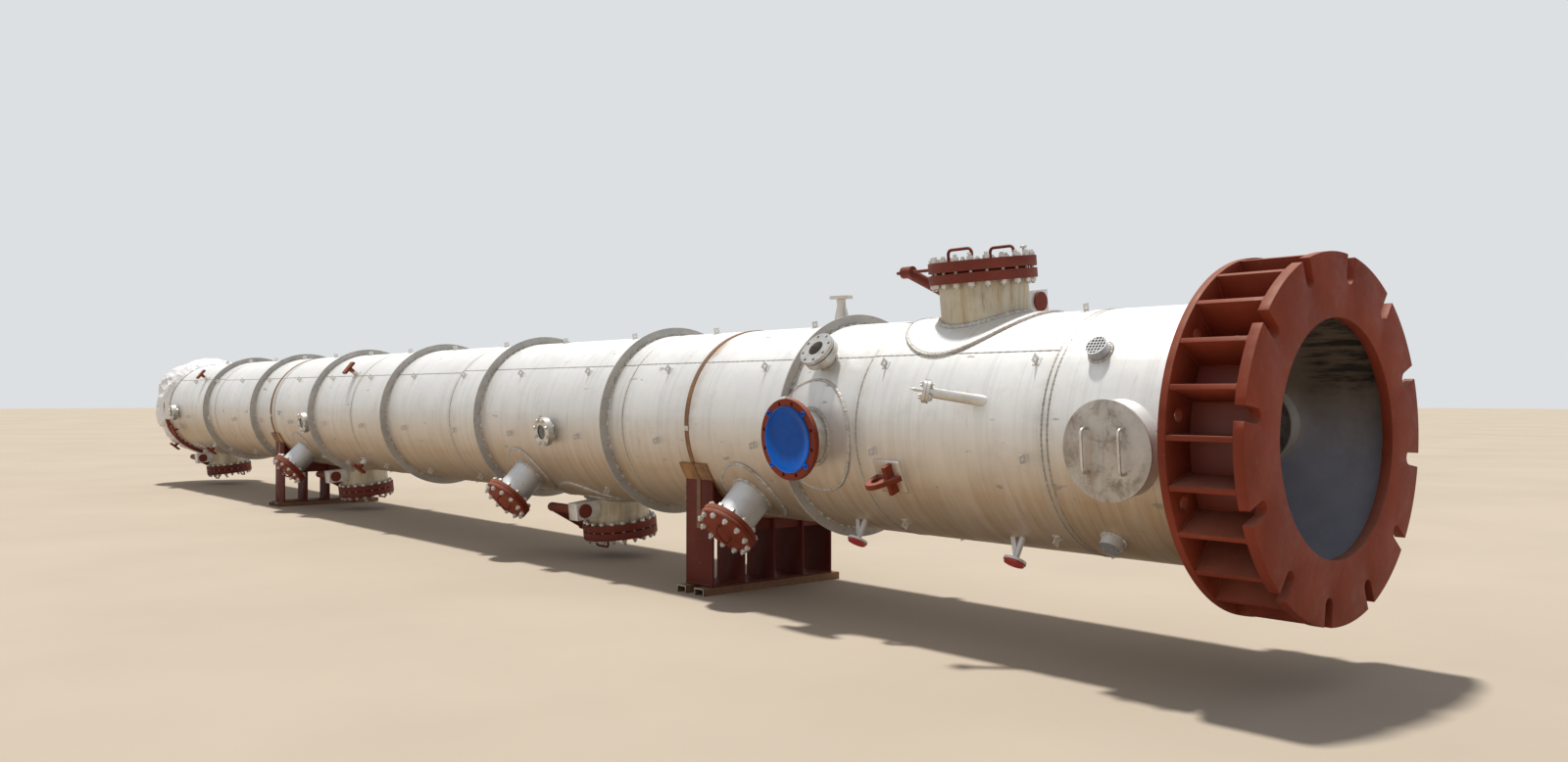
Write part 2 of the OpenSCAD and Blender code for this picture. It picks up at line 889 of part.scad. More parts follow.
// One hinge arm: collar, post, inclined arm, and the boss that its rod runs through
module davit() {
    foot = [sleeve_low - collar_t, -davit_side, davit_post_r];
    bend = [davit_bend, -davit_side, davit_post_r];
    end = [davit_end, 0, cover_middle_r];
    half_boss = [davit_boss_length / 2, 0, 0];
    bar(foot, foot + [collar_t, 0, 0], collar_d);
    bar(foot, bend, davit_od);
    translate(bend)
        sphere(d = davit_od, $fn = 48);
    bar(bend, end, davit_od - 10);
    bar(end - half_boss, end + half_boss, davit_boss_d);
    davit_rod();
}

// Blocks on the manhole necks, bored for the posts of the hinge arms
module davit_sleeves() {
    color([0.66, 0.62, 0.58])
        laid()
            for (m = manholes)
                on_side(m[0], m[1])
                    difference() {
                        translate([sleeve_low, -davit_side - collar_d / 2 - 20,
                                   davit_post_r - sleeve_depth / 2])
                            cube([sleeve_length, davit_side + collar_d / 2 + 20, sleeve_depth]);
                        cylinder(h = manhole_flange_r, d = manhole_od);
                        bar([sleeve_low - 1, -davit_side, davit_post_r],
                            [sleeve_low + sleeve_length + 1, -davit_side, davit_post_r], davit_od);
                    }
}

// Necks, pads and flanges of the handholes
module handhole_necks() {
    color([0.66, 0.62, 0.58])
        laid()
            for (h = handholes) {
                neck(h[0], h[1], handhole_od, neck_t,
                     handhole_face - handhole_flange_t - gasket_t, handhole_pad_od);
                on_side(h[0], h[1], handhole_face - 2 * handhole_flange_t - gasket_t)
                    flange(handhole_flange_od, handhole_od - 2 * neck_t, handhole_flange_t);
            }
}

// Blind covers of the handholes
module handhole_covers() {
    color([0.60, 0.25, 0.20])
        laid()
            for (h = handholes)
                on_side(h[0], h[1], handhole_face - handhole_flange_t - gasket_t)
                    union() {
                        cylinder(h = gasket_t, d = handhole_od + 40);
                        translate([0, 0, gasket_t])
                            cylinder(h = handhole_flange_t, d = handhole_flange_od);
                    }
}

// One rod handle on each handhole cover
module handhole_handles() {
    color([0.60, 0.25, 0.20])
        laid()
            for (h = handholes)
                on_side(h[0], h[1], handhole_face)
                    rotate([0, 0, 90])
                        rod_loop(handhole_handle_w, handhole_handle_rise, handle_d);
}

// Feed nozzle with its pad and drilled flange
module feed_nozzle() {
    color([0.60, 0.25, 0.20])
        laid()
            union() {
                neck(feed_height, feed_azimuth, feed_od, neck_t,
                     feed_face - feed_flange_t, feed_pad_od);
                on_side(feed_height, feed_azimuth, feed_face - feed_flange_t)
                    flange(feed_flange_od, feed_od - 2 * neck_t, feed_flange_t,
                           feed_bolt_circle, 12, feed_bolt_hole);
            }
}

// Moulded shipping cover clipped into the feed flange
module feed_nozzle_cover() {
    cover_d = feed_bolt_circle - feed_bolt_hole - 12;
    color([0.10, 0.35, 0.75])
        laid()
            on_side(feed_height, feed_azimuth, feed_face)
                difference() {
                    cylinder(h = 9, d = cover_d);
                    translate([0, 0, 4])
                        cylinder(h = 9, d = cover_d - 30);
                }
}

// Open level nozzle
module level_nozzle() {
    color([0.74, 0.73, 0.71])
        laid()
            union() {
                neck(level_height, level_azimuth, level_od, pipe_t, level_face - level_flange_t);
                on_side(level_height, level_azimuth, level_face - level_flange_t)
                    flange(level_flange_od, level_od - 2 * pipe_t, level_flange_t,
                           level_bolt_circle, 8, level_bolt_hole);
            }
}

// Pipe of the small nozzle on top
module relief_nozzle() {
    color([0.76, 0.75, 0.73])
        laid()
            neck(relief_height, relief_azimuth, relief_od, pipe_t, relief_face - relief_flange_t);
}

// Flange welded to the end of that pipe
module relief_nozzle_flange() {
    color([0.76, 0.75, 0.73])
        laid()
            on_side(relief_height, relief_azimuth, relief_face - relief_flange_t)
                flange(relief_flange_od, relief_od - 2 * pipe_t, relief_flange_t,
                       relief_bolt_circle, 4, relief_bolt_hole);
}

// Flat bar in the plane of local x and z, sloping from the shell to a pipe on the local z axis
module brace(pipe_r, top_r) {
    rotate([90, 0, 0])
        translate([0, 0, -brace_t / 2])
            linear_extrude(height = brace_t)
                polygon([[brace_foot - brace_w, shell_r - brace_t], [brace_foot, shell_r - brace_t],
                         [pipe_r, top_r], [pipe_r, top_r - 1.6 * brace_w]]);
}

// Two braces of the small nozzle
module relief_braces() {
    color([0.76, 0.75, 0.73])
        laid()
            difference() {
                on_side(relief_height, relief_azimuth)
                    for (turn = [0, 180])
                        rotate([0, 0, turn])
                            brace(relief_od / 2 - 1, relief_face - 2 * relief_flange_t);
                core(shell_r, relief_height, relief_flange_od);
                on_side(relief_height, relief_azimuth)
                    cylinder(h = relief_face, d = relief_od);
            }
}

// Short flanged necks of the sight glasses
module sight_glass_necks() {
    color([0.72, 0.70, 0.67])
        laid()
            for (s = sight_ports) {
                neck(s[0], s[1], level_od, pipe_t, sight_face - level_flange_t);
                on_side(s[0], s[1], sight_face - 2 * level_flange_t)
                    flange(level_flange_od, level_od - 2 * pipe_t, level_flange_t);
            }
}

// Glass discs in their clamping rings
module sight_glasses() {
    color([0.65, 0.72, 0.72])
        laid()
            for (s = sight_ports)
                on_side(s[0], s[1], sight_face - level_flange_t)
                    union() {
                        cylinder(h = level_flange_t / 2, d = level_od + 10);
                        flange(level_flange_od, level_od, level_flange_t);
                    }
}

// Probe nozzle that slopes towards the top, with its closed flange pair and rod
module probe_nozzle() {
    color([0.74, 0.73, 0.71])
        laid()
            difference() {
                on_side(probe_height, probe_azimuth, shell_r)
                    rotate([0, probe_tilt, 0])
                        rotate_extrude()
                            probe_profile();
                core(shell_r, probe_height, 2 * probe_length);
            }
}

// Half of the probe nozzle's section: pipe, flange, gasket, flange and pointed rod
module probe_profile() {
    root = 2 * probe_od;
    pair = 2 * probe_flange_t + probe_gap;
    translate([0, -root])
        square([probe_od / 2, probe_length + root]);
    for (low = [probe_length - pair, probe_length - probe_flange_t])
        translate([0, low])
            square([probe_flange_od / 2, probe_flange_t]);
    translate([0, probe_length - pair])
        square([probe_gasket_d / 2, pair]);
    polygon([[0, probe_length - 1], [probe_rod_d / 2, probe_length - 1],
             [probe_rod_d / 2, probe_length + probe_rod_length - probe_point],
             [0, probe_length + probe_rod_length]]);
}

// Two small drain nozzles, each with a sloping brace
module drain_nozzles() {
    color([0.70, 0.69, 0.67])
        laid()
            for (d = drains) {
                neck(d[0], d[1], drain_od, drain_t, drain_face - drain_flange_t);
                on_side(d[0], d[1], drain_face - drain_flange_t)
                    flange(drain_flange_od, drain_od - 2 * drain_t, drain_flange_t);
                difference() {
                    on_side(d[0], d[1])
                        brace(drain_od / 2 - 1, drain_face - 2 * drain_flange_t);
                    core(shell_r, d[0], 2 * brace_foot);
                }
            }
}

// Red plastic caps pushed on the drain flanges
module drain_caps() {
    color([0.80, 0.12, 0.10])
        laid()
            for (d = drains)
                on_side(d[0], d[1], drain_face)
                    cylinder(h = drain_cap_t, d = drain_flange_od - drain_flange_t);
}

// Lug with an elongated eye and a cross rib, on a square pad
module lifting_lug() {
    color([0.58, 0.24, 0.20])
        laid()
            union() {
                intersection() {
                    on_side(lug_height, lug_azimuth)
                        translate([-lug_pad / 2, -lug_pad / 2, 0])
                            cube([lug_pad, lug_pad, 2 * shell_r]);
                    difference() {
                        core(shell_r + pad_t, lug_height, lug_pad);
                        core(shell_r, lug_height, lug_pad + 1);
                    }
                }
                difference() {
                    on_side(lug_height, lug_azimuth) {
                        rotate([90, 0, 0])
                            translate([0, shell_r, -lug_t / 2])
                                linear_extrude(height = lug_t)
                                    lug_outline();
                        translate([lug_rib_x, -lug_rib_w / 2, shell_r - pad_t])
                            cube([lug_rib_t, lug_rib_w, 2 * pad_t + lug_rib_out]);
                    }
                    core(shell_r + pad_t - 1, lug_height, lug_pad);
                }
            }
}

// Outline of the lug's plate: x along the column, y outwards from the shell
module lug_outline() {
    root = lug_pad / 2 - 5;
    tip_x = lug_tip_r / 2;
    tip_y = lug_reach - lug_tip_r;
    eye_y = tip_y - lug_eye_w * 0.6;
    difference() {
        union() {
            polygon([[-root, 0], [root, 0], [root, lug_reach / 3],
                     [tip_x + lug_tip_r * cos(20), tip_y + lug_tip_r * sin(20)],
                     [tip_x - lug_tip_r * cos(50), tip_y + lug_tip_r * sin(50)],
                     [-root, lug_reach / 4]]);
            translate([tip_x, tip_y])
                circle(r = lug_tip_r);
        }
        for (y = [eye_y, tip_y])
            translate([tip_x, y])
                circle(d = lug_eye_w);
        translate([tip_x - lug_eye_w / 2, eye_y])
            square([lug_eye_w, tip_y - eye_y]);
    }
}

// Brackets for the pipes that run down the column: a plate with a cross bar on its outer edge
module pipe_brackets() {
    color([0.58, 0.22, 0.18])
        laid()
            difference() {
                for (b = brackets)
                    on_side(b[0], b[1], shell_r - bracket_leg_t) {
                        translate([-bracket_w / 2, -bracket_leg_t / 2, 0])
                            cube([bracket_w, bracket_leg_t, bracket_out + bracket_leg_t - 1]);
                        translate([-bracket_w / 2, -bracket_bar_w / 2,
                                   bracket_out + bracket_leg_t - bracket_bar_t])
                            cube([bracket_w, bracket_bar_w, bracket_bar_t]);
                    }
                core(shell_r, tangent_top / 2, tangent_top / 2 + 1);
            }
}

// Puts children at a saddle: x along the column's lie, z up from the ground
module at_saddle(height) {
    translate([column_length / 2 - height, 0, 0])
        children();
}

// A solid bar on the lying column's axis, used to shape the saddles
module lying_core(r, half_length) {
    translate([-half_length, 0, axis_height])
        rotate([0, 90, 0])
            cylinder(h = 2 * half_length, r = r, $fn = 180);
}

// Upright plates on a sole plate, cut to the cradle
module saddle() {
    sole_top = channel_h + sole_t;
    color([0.38, 0.16, 0.14])
        difference() {
            union() {
                translate([-saddle_w / 2, -saddle_half - saddle_plate_t / 2, channel_h])
                    cube([saddle_w, 2 * saddle_half + saddle_plate_t, sole_t]);
                for (i = [0:saddle_ribs - 1])
                    translate([-saddle_w / 2,
                               -saddle_half + i * saddle_pitch - saddle_plate_t / 2,
                               sole_top - 1])
                        cube([saddle_w, saddle_plate_t, axis_height - sole_top]);
                for (side = [-1, 1])
                    translate([side * (saddle_w / 2 - saddle_web_inset) - saddle_web_t / 2,
                               -saddle_half, axis_height - cradle_r - saddle_web_h / 4])
                        cube([saddle_web_t, 2 * saddle_half, saddle_web_h]);
            }
            lying_core(cradle_r, saddle_w);
        }
}

module base_saddle() at_saddle(base_saddle_height) saddle();
module top_saddle() at_saddle(top_saddle_height) saddle();

// Bent plates between the shell and the upright plates
module saddle_cradles() {
    color([0.55, 0.36, 0.20])
        for (height = [base_saddle_height, top_saddle_height])
            at_saddle(height)
                translate([-saddle_w / 2, 0, axis_height])
                    rotate([0, 90, 0])
                        rotate([0, 0, -cradle_half_angle])
                            rotate_extrude(angle = 2 * cradle_half_angle, $fn = 180)
                                translate([shell_r, 0])
                                    square([cradle_t, saddle_w]);
}

// Channels under the sole plates, open side down
module saddle_channels() {
    length = 2 * (saddle_half + channel_overhang);
    color([0.45, 0.42, 0.40])
        for (height = [base_saddle_height, top_saddle_height], side = [-1, 1])
            at_saddle(height)
                translate([side * (saddle_w - channel_w) / 2 - channel_w / 2, -length / 2, 0])
                    difference() {
                        cube([channel_w, length, channel_h]);
                        translate([channel_wall, -1, -1])
                            cube([channel_w - 2 * channel_wall, length + 2,
                                  channel_h - channel_wall + 1]);
                    }
}

// Steel straps over the shell, brought down on the outer plates
module saddle_straps() {
    color([0.45, 0.33, 0.26])
        for (height = [base_saddle_height, top_saddle_height])
            at_saddle(height)
                translate([-strap_w / 2, 0, axis_height])
                    rotate([90, 0, 90])
                        linear_extrude(height = strap_w)
                            strap_outline();
}

// A strap seen along the column: over the shell, over the cradle plate and down both sides
module strap_outline() {
    side_y = saddle_half + saddle_plate_t / 2;
    leave_z = -sqrt(pow(cradle_r, 2) - pow(side_y, 2));
    difference() {
        union() {
            circle(r = shell_r + strap_t, $fn = 180);
            intersection() {
                circle(r = cradle_r + strap_t, $fn = 180);
                cradle_wedge(cradle_half_angle + 0.5);
            }
            for (side = [-1, 1])
                translate([side > 0 ? side_y : -side_y - strap_t, leave_z - strap_tail])
                    square([strap_t, strap_tail + 10]);
        }
        circle(r = shell_r, $fn = 180);
        intersection() {
            circle(r = cradle_r, $fn = 180);
            cradle_wedge(cradle_half_angle);
        }
        translate([-side_y, -2 * shell_r])
            square([2 * side_y, 2 * shell_r + leave_z + 60]);
    }
}

// The part of a circle's disc that lies within an angle of straight down
module cradle_wedge(half_angle) {
    far = 2 * shell_r;
    polygon([[0, 0],
             [far * sin(half_angle), -far * cos(half_angle)],
             [far * sin(half_angle), -2 * far],
             [-far * sin(half_angle), -2 * far],
             [-far * sin(half_angle), -far * cos(half_angle)]]);
}

// Plastic sheet wrapped over the top head and its nozzle
module end_wrap() {
    clear = 0.3;
    low = ring_last + ring_t / 2 + 2;
    wrap_r = shell_r + 60;
    color([0.90, 0.90, 0.90])
        laid()
            difference() {
                rotate_extrude($fn = 120)
                    polygon([
                        [0, low],
                        [shell_r + clear + 4, low],
                        [wrap_r - 20, low + 90],
                        [wrap_r, tangent_top - 60],
                        [wrap_r - 15, tangent_top + 90],
                        [shell_r * 0.80, tangent_top + head_depth - 30],
                        [overhead_flange_od / 2 + wrap_t, overhead_top - overhead_flange_t],
                        [overhead_flange_od / 2 + wrap_t / 2, overhead_top + wrap_t],
                        [0, overhead_top + wrap_t]
                    ]);
                core(shell_r + clear, low, wrap_reach);
                translate([0, 0, tangent_top])
                    rotate_extrude($fn = 120)
                        polygon(concat([[0, -1], [shell_r + clear, -1]],
                                       quarter_ellipse(shell_r + clear, head_depth + clear)));
                translate([0, 0, tangent_top])
                    cylinder(h = overhead_top - tangent_top + clear,
                             d = overhead_flange_od + 2 * clear);
                for (m = manholes)
                    if (m[0] + manhole_pad_od > low)
                        on_side(m[0], m[1])
                            cylinder(h = 2 * shell_r, d = manhole_pad_od + 2 * ring_clear);
                for (b = brackets)
                    if (b[0] > low)
                        on_side(b[0], b[1], shell_r / 2)
                            translate([-bracket_w / 2 - 1, -bracket_bar_w / 2 - 1, 0])
                                cube([bracket_w + 2, bracket_bar_w + 2, shell_r]);
            }
}

base_plate();
chair_ring();
chair_gussets();
earthing_boss();
skirt();
skirt_vents();
access_neck_front();
access_neck_back();
access_cover_front();
access_cover_back();
access_handles();
bottom_head();
bottom_outlet();
shell_course_1();
shell_course_2();
shell_course_3();
shell_course_4();
shell_course_5();
shell_course_6();
shell_course_7();
top_head();
top_nozzle();
insulation_rings();
insulation_clips();
manhole_neck_1();
manhole_neck_2();
manhole_neck_3();
manhole_neck_4();
manhole_cover_1();
manhole_cover_2();
manhole_cover_3();
manhole_cover_4();
manhole_handles();
manhole_davits();
davit_sleeves();
handhole_necks();
handhole_covers();
handhole_handles();
feed_nozzle();
feed_nozzle_cover();
level_nozzle();
relief_nozzle();
relief_nozzle_flange();
relief_braces();
sight_glass_necks();
sight_glasses();
probe_nozzle();
drain_nozzles();
drain_caps();
lifting_lug();
pipe_brackets();
base_saddle();
top_saddle();
saddle_cradles();
saddle_channels();
saddle_straps();
end_wrap();
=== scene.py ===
import math
import random

import bmesh
import bpy
import numpy as np
from mathutils import Matrix, Vector, noise


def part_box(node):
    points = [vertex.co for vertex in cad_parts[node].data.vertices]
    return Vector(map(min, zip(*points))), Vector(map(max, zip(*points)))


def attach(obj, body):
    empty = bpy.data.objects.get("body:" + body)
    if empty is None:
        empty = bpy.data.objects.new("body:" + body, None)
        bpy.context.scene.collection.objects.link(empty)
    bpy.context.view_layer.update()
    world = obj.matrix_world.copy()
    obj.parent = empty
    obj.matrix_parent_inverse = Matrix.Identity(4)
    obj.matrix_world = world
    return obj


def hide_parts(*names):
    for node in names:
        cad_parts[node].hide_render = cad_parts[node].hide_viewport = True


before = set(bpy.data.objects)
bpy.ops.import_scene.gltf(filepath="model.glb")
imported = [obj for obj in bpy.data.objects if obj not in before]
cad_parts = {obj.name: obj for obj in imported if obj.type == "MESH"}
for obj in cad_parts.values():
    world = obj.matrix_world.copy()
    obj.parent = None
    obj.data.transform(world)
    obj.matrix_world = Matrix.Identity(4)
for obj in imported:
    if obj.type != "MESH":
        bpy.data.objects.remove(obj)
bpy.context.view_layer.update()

MANHOLE_NECKS = [f"manhole_neck_{n}" for n in range(1, 5)]
MANHOLE_COVERS = [f"manhole_cover_{n}" for n in range(1, 5)]
COURSES = [f"shell_course_{n}" for n in range(1, 8)]

# What the frame says about the column
course_low, course_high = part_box("shell_course_4")
SHELL_R = (course_high.y - course_low.y) / 2
AXIS_Z = (course_high.z + course_low.z) / 2
FOOT_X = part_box("base_plate")[1].x
# Degrees by which the column is rolled on its saddles
ROLL = -6.5

# Heights of the girth welds, and the azimuth of the straight weld of the course above each
COURSE_LOWS = [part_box(f"shell_course_{n}")[1].x for n in range(1, 8)]
SEAM_HEIGHTS = [FOOT_X - x for x in COURSE_LOWS] + [FOOT_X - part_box("shell_course_7")[0].x]
STRAIGHT_SEAMS = [-43.0, -43.5, -44.0, -46.0, -46.0, -46.5, -45.0]

# Places of the fittings on the shell: height and azimuth
MANHOLES = [(2.0, 0), (6.1, 180), (11.56, 180), (16.88, 180)]
HANDHOLES = [(3.64, -128), (6.6, -128), (11.9, -128)]
SIGHT_GLASSES = [(5.94, -91), (11.34, -93), (16.75, -89)]
FEED = (2.865, -88)
LEVEL = (2.85, -46)
PROBE = (1.572, -68.5)
VENTS = [(0.92, azimuth) for azimuth in (-45, -135, 135, 45)]
SADDLES = [4.12, 12.62]

# Heights of the insulation rings, and of the weld where the skirt meets the bottom head
RING_HEIGHTS = [3.09 + 2.025 * i for i in range(8)]
SKIRT_SEAM = 1.135

# Base ring: faces of its two plates as heights, its gussets, and how far they reach from the axis
BASE_TOP = 0.050
CHAIR_LOW = 0.362
CHAIR_TOP = 0.400
GUSSETS = 24
GUSSET_T = 0.025
GUSSET_R = 0.846

# Pads, flanges and covers: thicknesses, and the faces of joints as distances from the axis
PAD_T = 0.012
GASKET_T = 0.004
MANHOLE_FLANGE_T = 0.054
MANHOLE_GAP = 0.012
MANHOLE_COVER_T = 0.058
MANHOLE_FLANGE = SHELL_R + 0.204
MANHOLE_TOP = MANHOLE_FLANGE + MANHOLE_FLANGE_T + MANHOLE_GAP + MANHOLE_COVER_T
HANDHOLE_FLANGE_T = 0.030
HANDHOLE_TOP = SHELL_R + 0.325
HANDHOLE_LOW = HANDHOLE_TOP - 2 * HANDHOLE_FLANGE_T - GASKET_T
FEED_FACE = SHELL_R + 0.185
FEED_FLANGE_T = 0.032
LEVEL_FACE = SHELL_R + 0.135
LEVEL_FLANGE_T = 0.024
SIGHT_TOP = SHELL_R + 0.090


def side(height, azimuth, radius=0.0):
    """Matrix of a place on the column's side: local z outwards and local x to the column's top."""
    turn = math.radians(azimuth + ROLL)
    out = Vector((0, math.sin(turn), math.cos(turn)))
    along = Vector((-1, 0, 0))
    across = out.cross(along)
    place = Matrix((along, across, out)).transposed().to_4x4()
    place.translation = Vector((FOOT_X - height, 0, AXIS_Z)) + out * radius
    return place


def turned(angle, axis="Z"):
    """Turn by an angle in degrees."""
    return Matrix.Rotation(math.radians(angle), 4, axis)


def moved(x=0.0, y=0.0, z=0.0):
    return Matrix.Translation((x, y, z))


def circle(count):
    """Evenly spread directions round a circle, as (cosine, sine)."""
    turns = [2 * math.pi * i / count for i in range(count)]
    return [(math.cos(turn), math.sin(turn)) for turn in turns]


def placed(name, data):
    """Puts an object into the scene."""
    thing = bpy.data.objects.new(name, data)
    bpy.context.scene.collection.objects.link(thing)
    return thing


class Piece:
    """Gathers many small solids into one mesh."""

    def __init__(self):
        self.points = []
        self.faces = []
        self.smooth = []

    def add(self, points, faces, place=None, smooth=True):
        start = len(self.points)
        self.points += [place @ Vector(point) if place else Vector(point) for point in points]
        self.faces += [[start + i for i in face] for face in faces]
        self.smooth += [smooth] * len(faces)

    def make(self, name, material, slot=None, sharp=40):
        """Turns what was gathered into an object that rides on the column."""
        mesh = bpy.data.meshes.new(name)
        mesh.from_pydata([tuple(p) for p in self.points], [], self.faces)
        mesh.polygons.foreach_set("use_smooth", self.smooth)
        mesh.update()
        thing = placed(name, mesh)
        mesh.set_sharp_from_angle(angle=math.radians(sharp))
        mesh.materials.append(material)
        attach(thing, "root")
        return thing


def lathe(piece, profile, place, segments=32, smooth=True):
    """Turns a profile of (radius, height) points round local z. A radius of 0 closes an end."""
    points = []
    rings = []
    for radius, height in profile:
        if radius == 0:
            rings.append([len(points)])
            points.append((0, 0, height))
            continue
        rings.append(list(range(len(points), len(points) + segments)))
        points += [(radius * x, radius * y, height) for x, y in circle(segments)]
    faces = []
    for low, high in zip(rings, rings[1:]):
        for i in range(segments):
            j = (i + 1) % segments
            if len(low) == 1 and len(high) > 1:
                faces.append((low[0], high[i], high[j])[::-1])
            elif len(high) == 1 and len(low) > 1:
                faces.append((low[i], low[j], high[0]))
            elif len(low) > 1:
                faces.append((low[i], low[j], high[j], high[i]))
    piece.add(points, faces, place, smooth)


def block(piece, low, high, place=None):
    """A box between two corners."""
    x0, y0, z0 = low
    x1, y1, z1 = high
    points = [(x, y, z) for z in (z0, z1) for y in (y0, y1) for x in (x0, x1)]
    faces = [(0, 2, 3, 1), (4, 5, 7, 6), (0, 1, 5, 4), (2, 6, 7, 3), (0, 4, 6, 2), (1, 3, 7, 5)]
    piece.add(points, faces, place, smooth=False)


def swept(piece, path, radius, sides=8, closed=False, place=None):
    """A round bar along a path. The radius may be a list, one for each point."""
    path = [Vector(p) for p in path]
    count = len(path)
    radii = radius if isinstance(radius, list) else [radius] * count
    spokes = circle(sides)
    points = []
    lift = None
    for i, point in enumerate(path):
        before = path[i - 1] if closed or i > 0 else path[0]
        after = path[(i + 1) % count] if closed or i < count - 1 else path[-1]
        ahead = (after - before).normalized()
        if lift is None:
            lift = ahead.orthogonal()
        lift = (lift - ahead * lift.dot(ahead)).normalized()
        across = ahead.cross(lift)
        points += [point + (lift * x + across * y) * radii[i] for x, y in spokes]
    faces = []
    for i in range(count if closed else count - 1):
        j = (i + 1) % count
        for k in range(sides):
            m = (k + 1) % sides
            faces.append((i * sides + k, i * sides + m, j * sides + m, j * sides + k))
    if not closed:
        faces.append(tuple(range(sides))[::-1])
        faces.append(tuple((count - 1) * sides + k for k in range(sides)))
    piece.add(points, faces, place)


# Materials: each is built from nodes on the piece's own place in metres


class Paint:
    """Builds the nodes of one material."""

    def __init__(self, name):
        self.material = bpy.data.materials.new(name)
        self.material.use_nodes = True
        self.tree = self.material.node_tree
        self.shader = self.tree.nodes["Principled BSDF"]
        self.place = self.node("ShaderNodeTexCoord").outputs["Object"]
        self.normal = self.node("ShaderNodeNewGeometry").outputs["Normal"]

    def node(self, kind, inputs=None, **settings):
        """Adds a node with its settings, and feeds its inputs, given by name or number."""
        made = self.tree.nodes.new(kind)
        for key, value in settings.items():
            setattr(made, key, value)
        for key, value in (inputs or {}).items():
            self.feed(made.inputs[key], value)
        return made

    def feed(self, socket, value):
        if isinstance(value, bpy.types.NodeSocket):
            self.tree.links.new(value, socket)
        elif socket.type == "RGBA":
            socket.default_value = (*value, 1)
        else:
            socket.default_value = value

    def set(self, **values):
        """Sets sockets of the shader, with spaces in their names written as underscores."""
        for key, value in values.items():
            socket = key.replace("_", " ").title().replace("Ior", "IOR")
            self.feed(self.shader.inputs[socket], value)

    def math(self, operation, a, b=0.0):
        return self.node("ShaderNodeMath", {0: a, 1: b}, operation=operation).outputs[0]

    def times(self, a, b):
        return self.math("MULTIPLY", a, b)

    def noise(self, scale, detail=4.0, roughness=0.55, distortion=0.0, place=None):
        inputs = {"Vector": self.place if place is None else place, "Scale": scale,
                  "Detail": detail, "Roughness": roughness, "Distortion": distortion}
        return self.node("ShaderNodeTexNoise", inputs).outputs["Fac"]

    def streaks(self, scales, detail, roughness, shift=0.0, distortion=0.0):
        """Noise with a scale of its own along each axis, and a shift to another part of it."""
        inputs = {0: self.place, 1: scales, 2: (shift, shift, shift)}
        place = self.node("ShaderNodeVectorMath", inputs, operation="MULTIPLY_ADD").outputs[0]
        return self.noise(1.0, detail, roughness, distortion, place)

    def between(self, value, low, high, to_low=0.0, to_high=1.0):
        """Maps a range onto another, held at its ends."""
        inputs = {"Value": value, "From Min": low, "From Max": high,
                  "To Min": to_low, "To Max": to_high}
        return self.node("ShaderNodeMapRange", inputs, clamp=True).outputs["Result"]

    def mix(self, share, a, b):
        inputs = {"Factor": share, "A": a, "B": b}
        return self.node("ShaderNodeMix", inputs, data_type="RGBA").outputs["Result"]

    def over(self, colour, pattern, low, high, most, top):
        """Lays a top colour on: none of it where the pattern is low, most of it where high."""
        return self.mix(self.between(pattern, low, high, 0.0, most), colour, top)

    def axis(self, name):
        return self.node("ShaderNodeSeparateXYZ", {0: self.place}).outputs[name]

    def upward(self):
        """The vertical part of the surface's direction, 1 where it faces up."""
        return self.node("ShaderNodeSeparateXYZ", {0: self.normal}).outputs["Z"]

    def near(self, value, spots, reach):
        """1 at each of the spots along a value, falling to 0 at the reach."""
        nearest = None
        for spot in spots:
            away = self.math("ABSOLUTE", self.math("SUBTRACT", value, spot))
            nearest = away if nearest is None else self.math("MINIMUM", nearest, away)
        return self.between(nearest, 0.0, reach, 1.0, 0.0)

    def bump(self, *layers):
        """Lays relief on the surface: each layer is (pattern, depth in metres)."""
        below = {}
        for pattern, depth in layers:
            inputs = {"Strength": 1.0, "Distance": depth, "Height": pattern, **below}
            below = {"Normal": self.node("ShaderNodeBump", inputs).outputs["Normal"]}
        self.feed(self.shader.inputs["Normal"], below["Normal"])


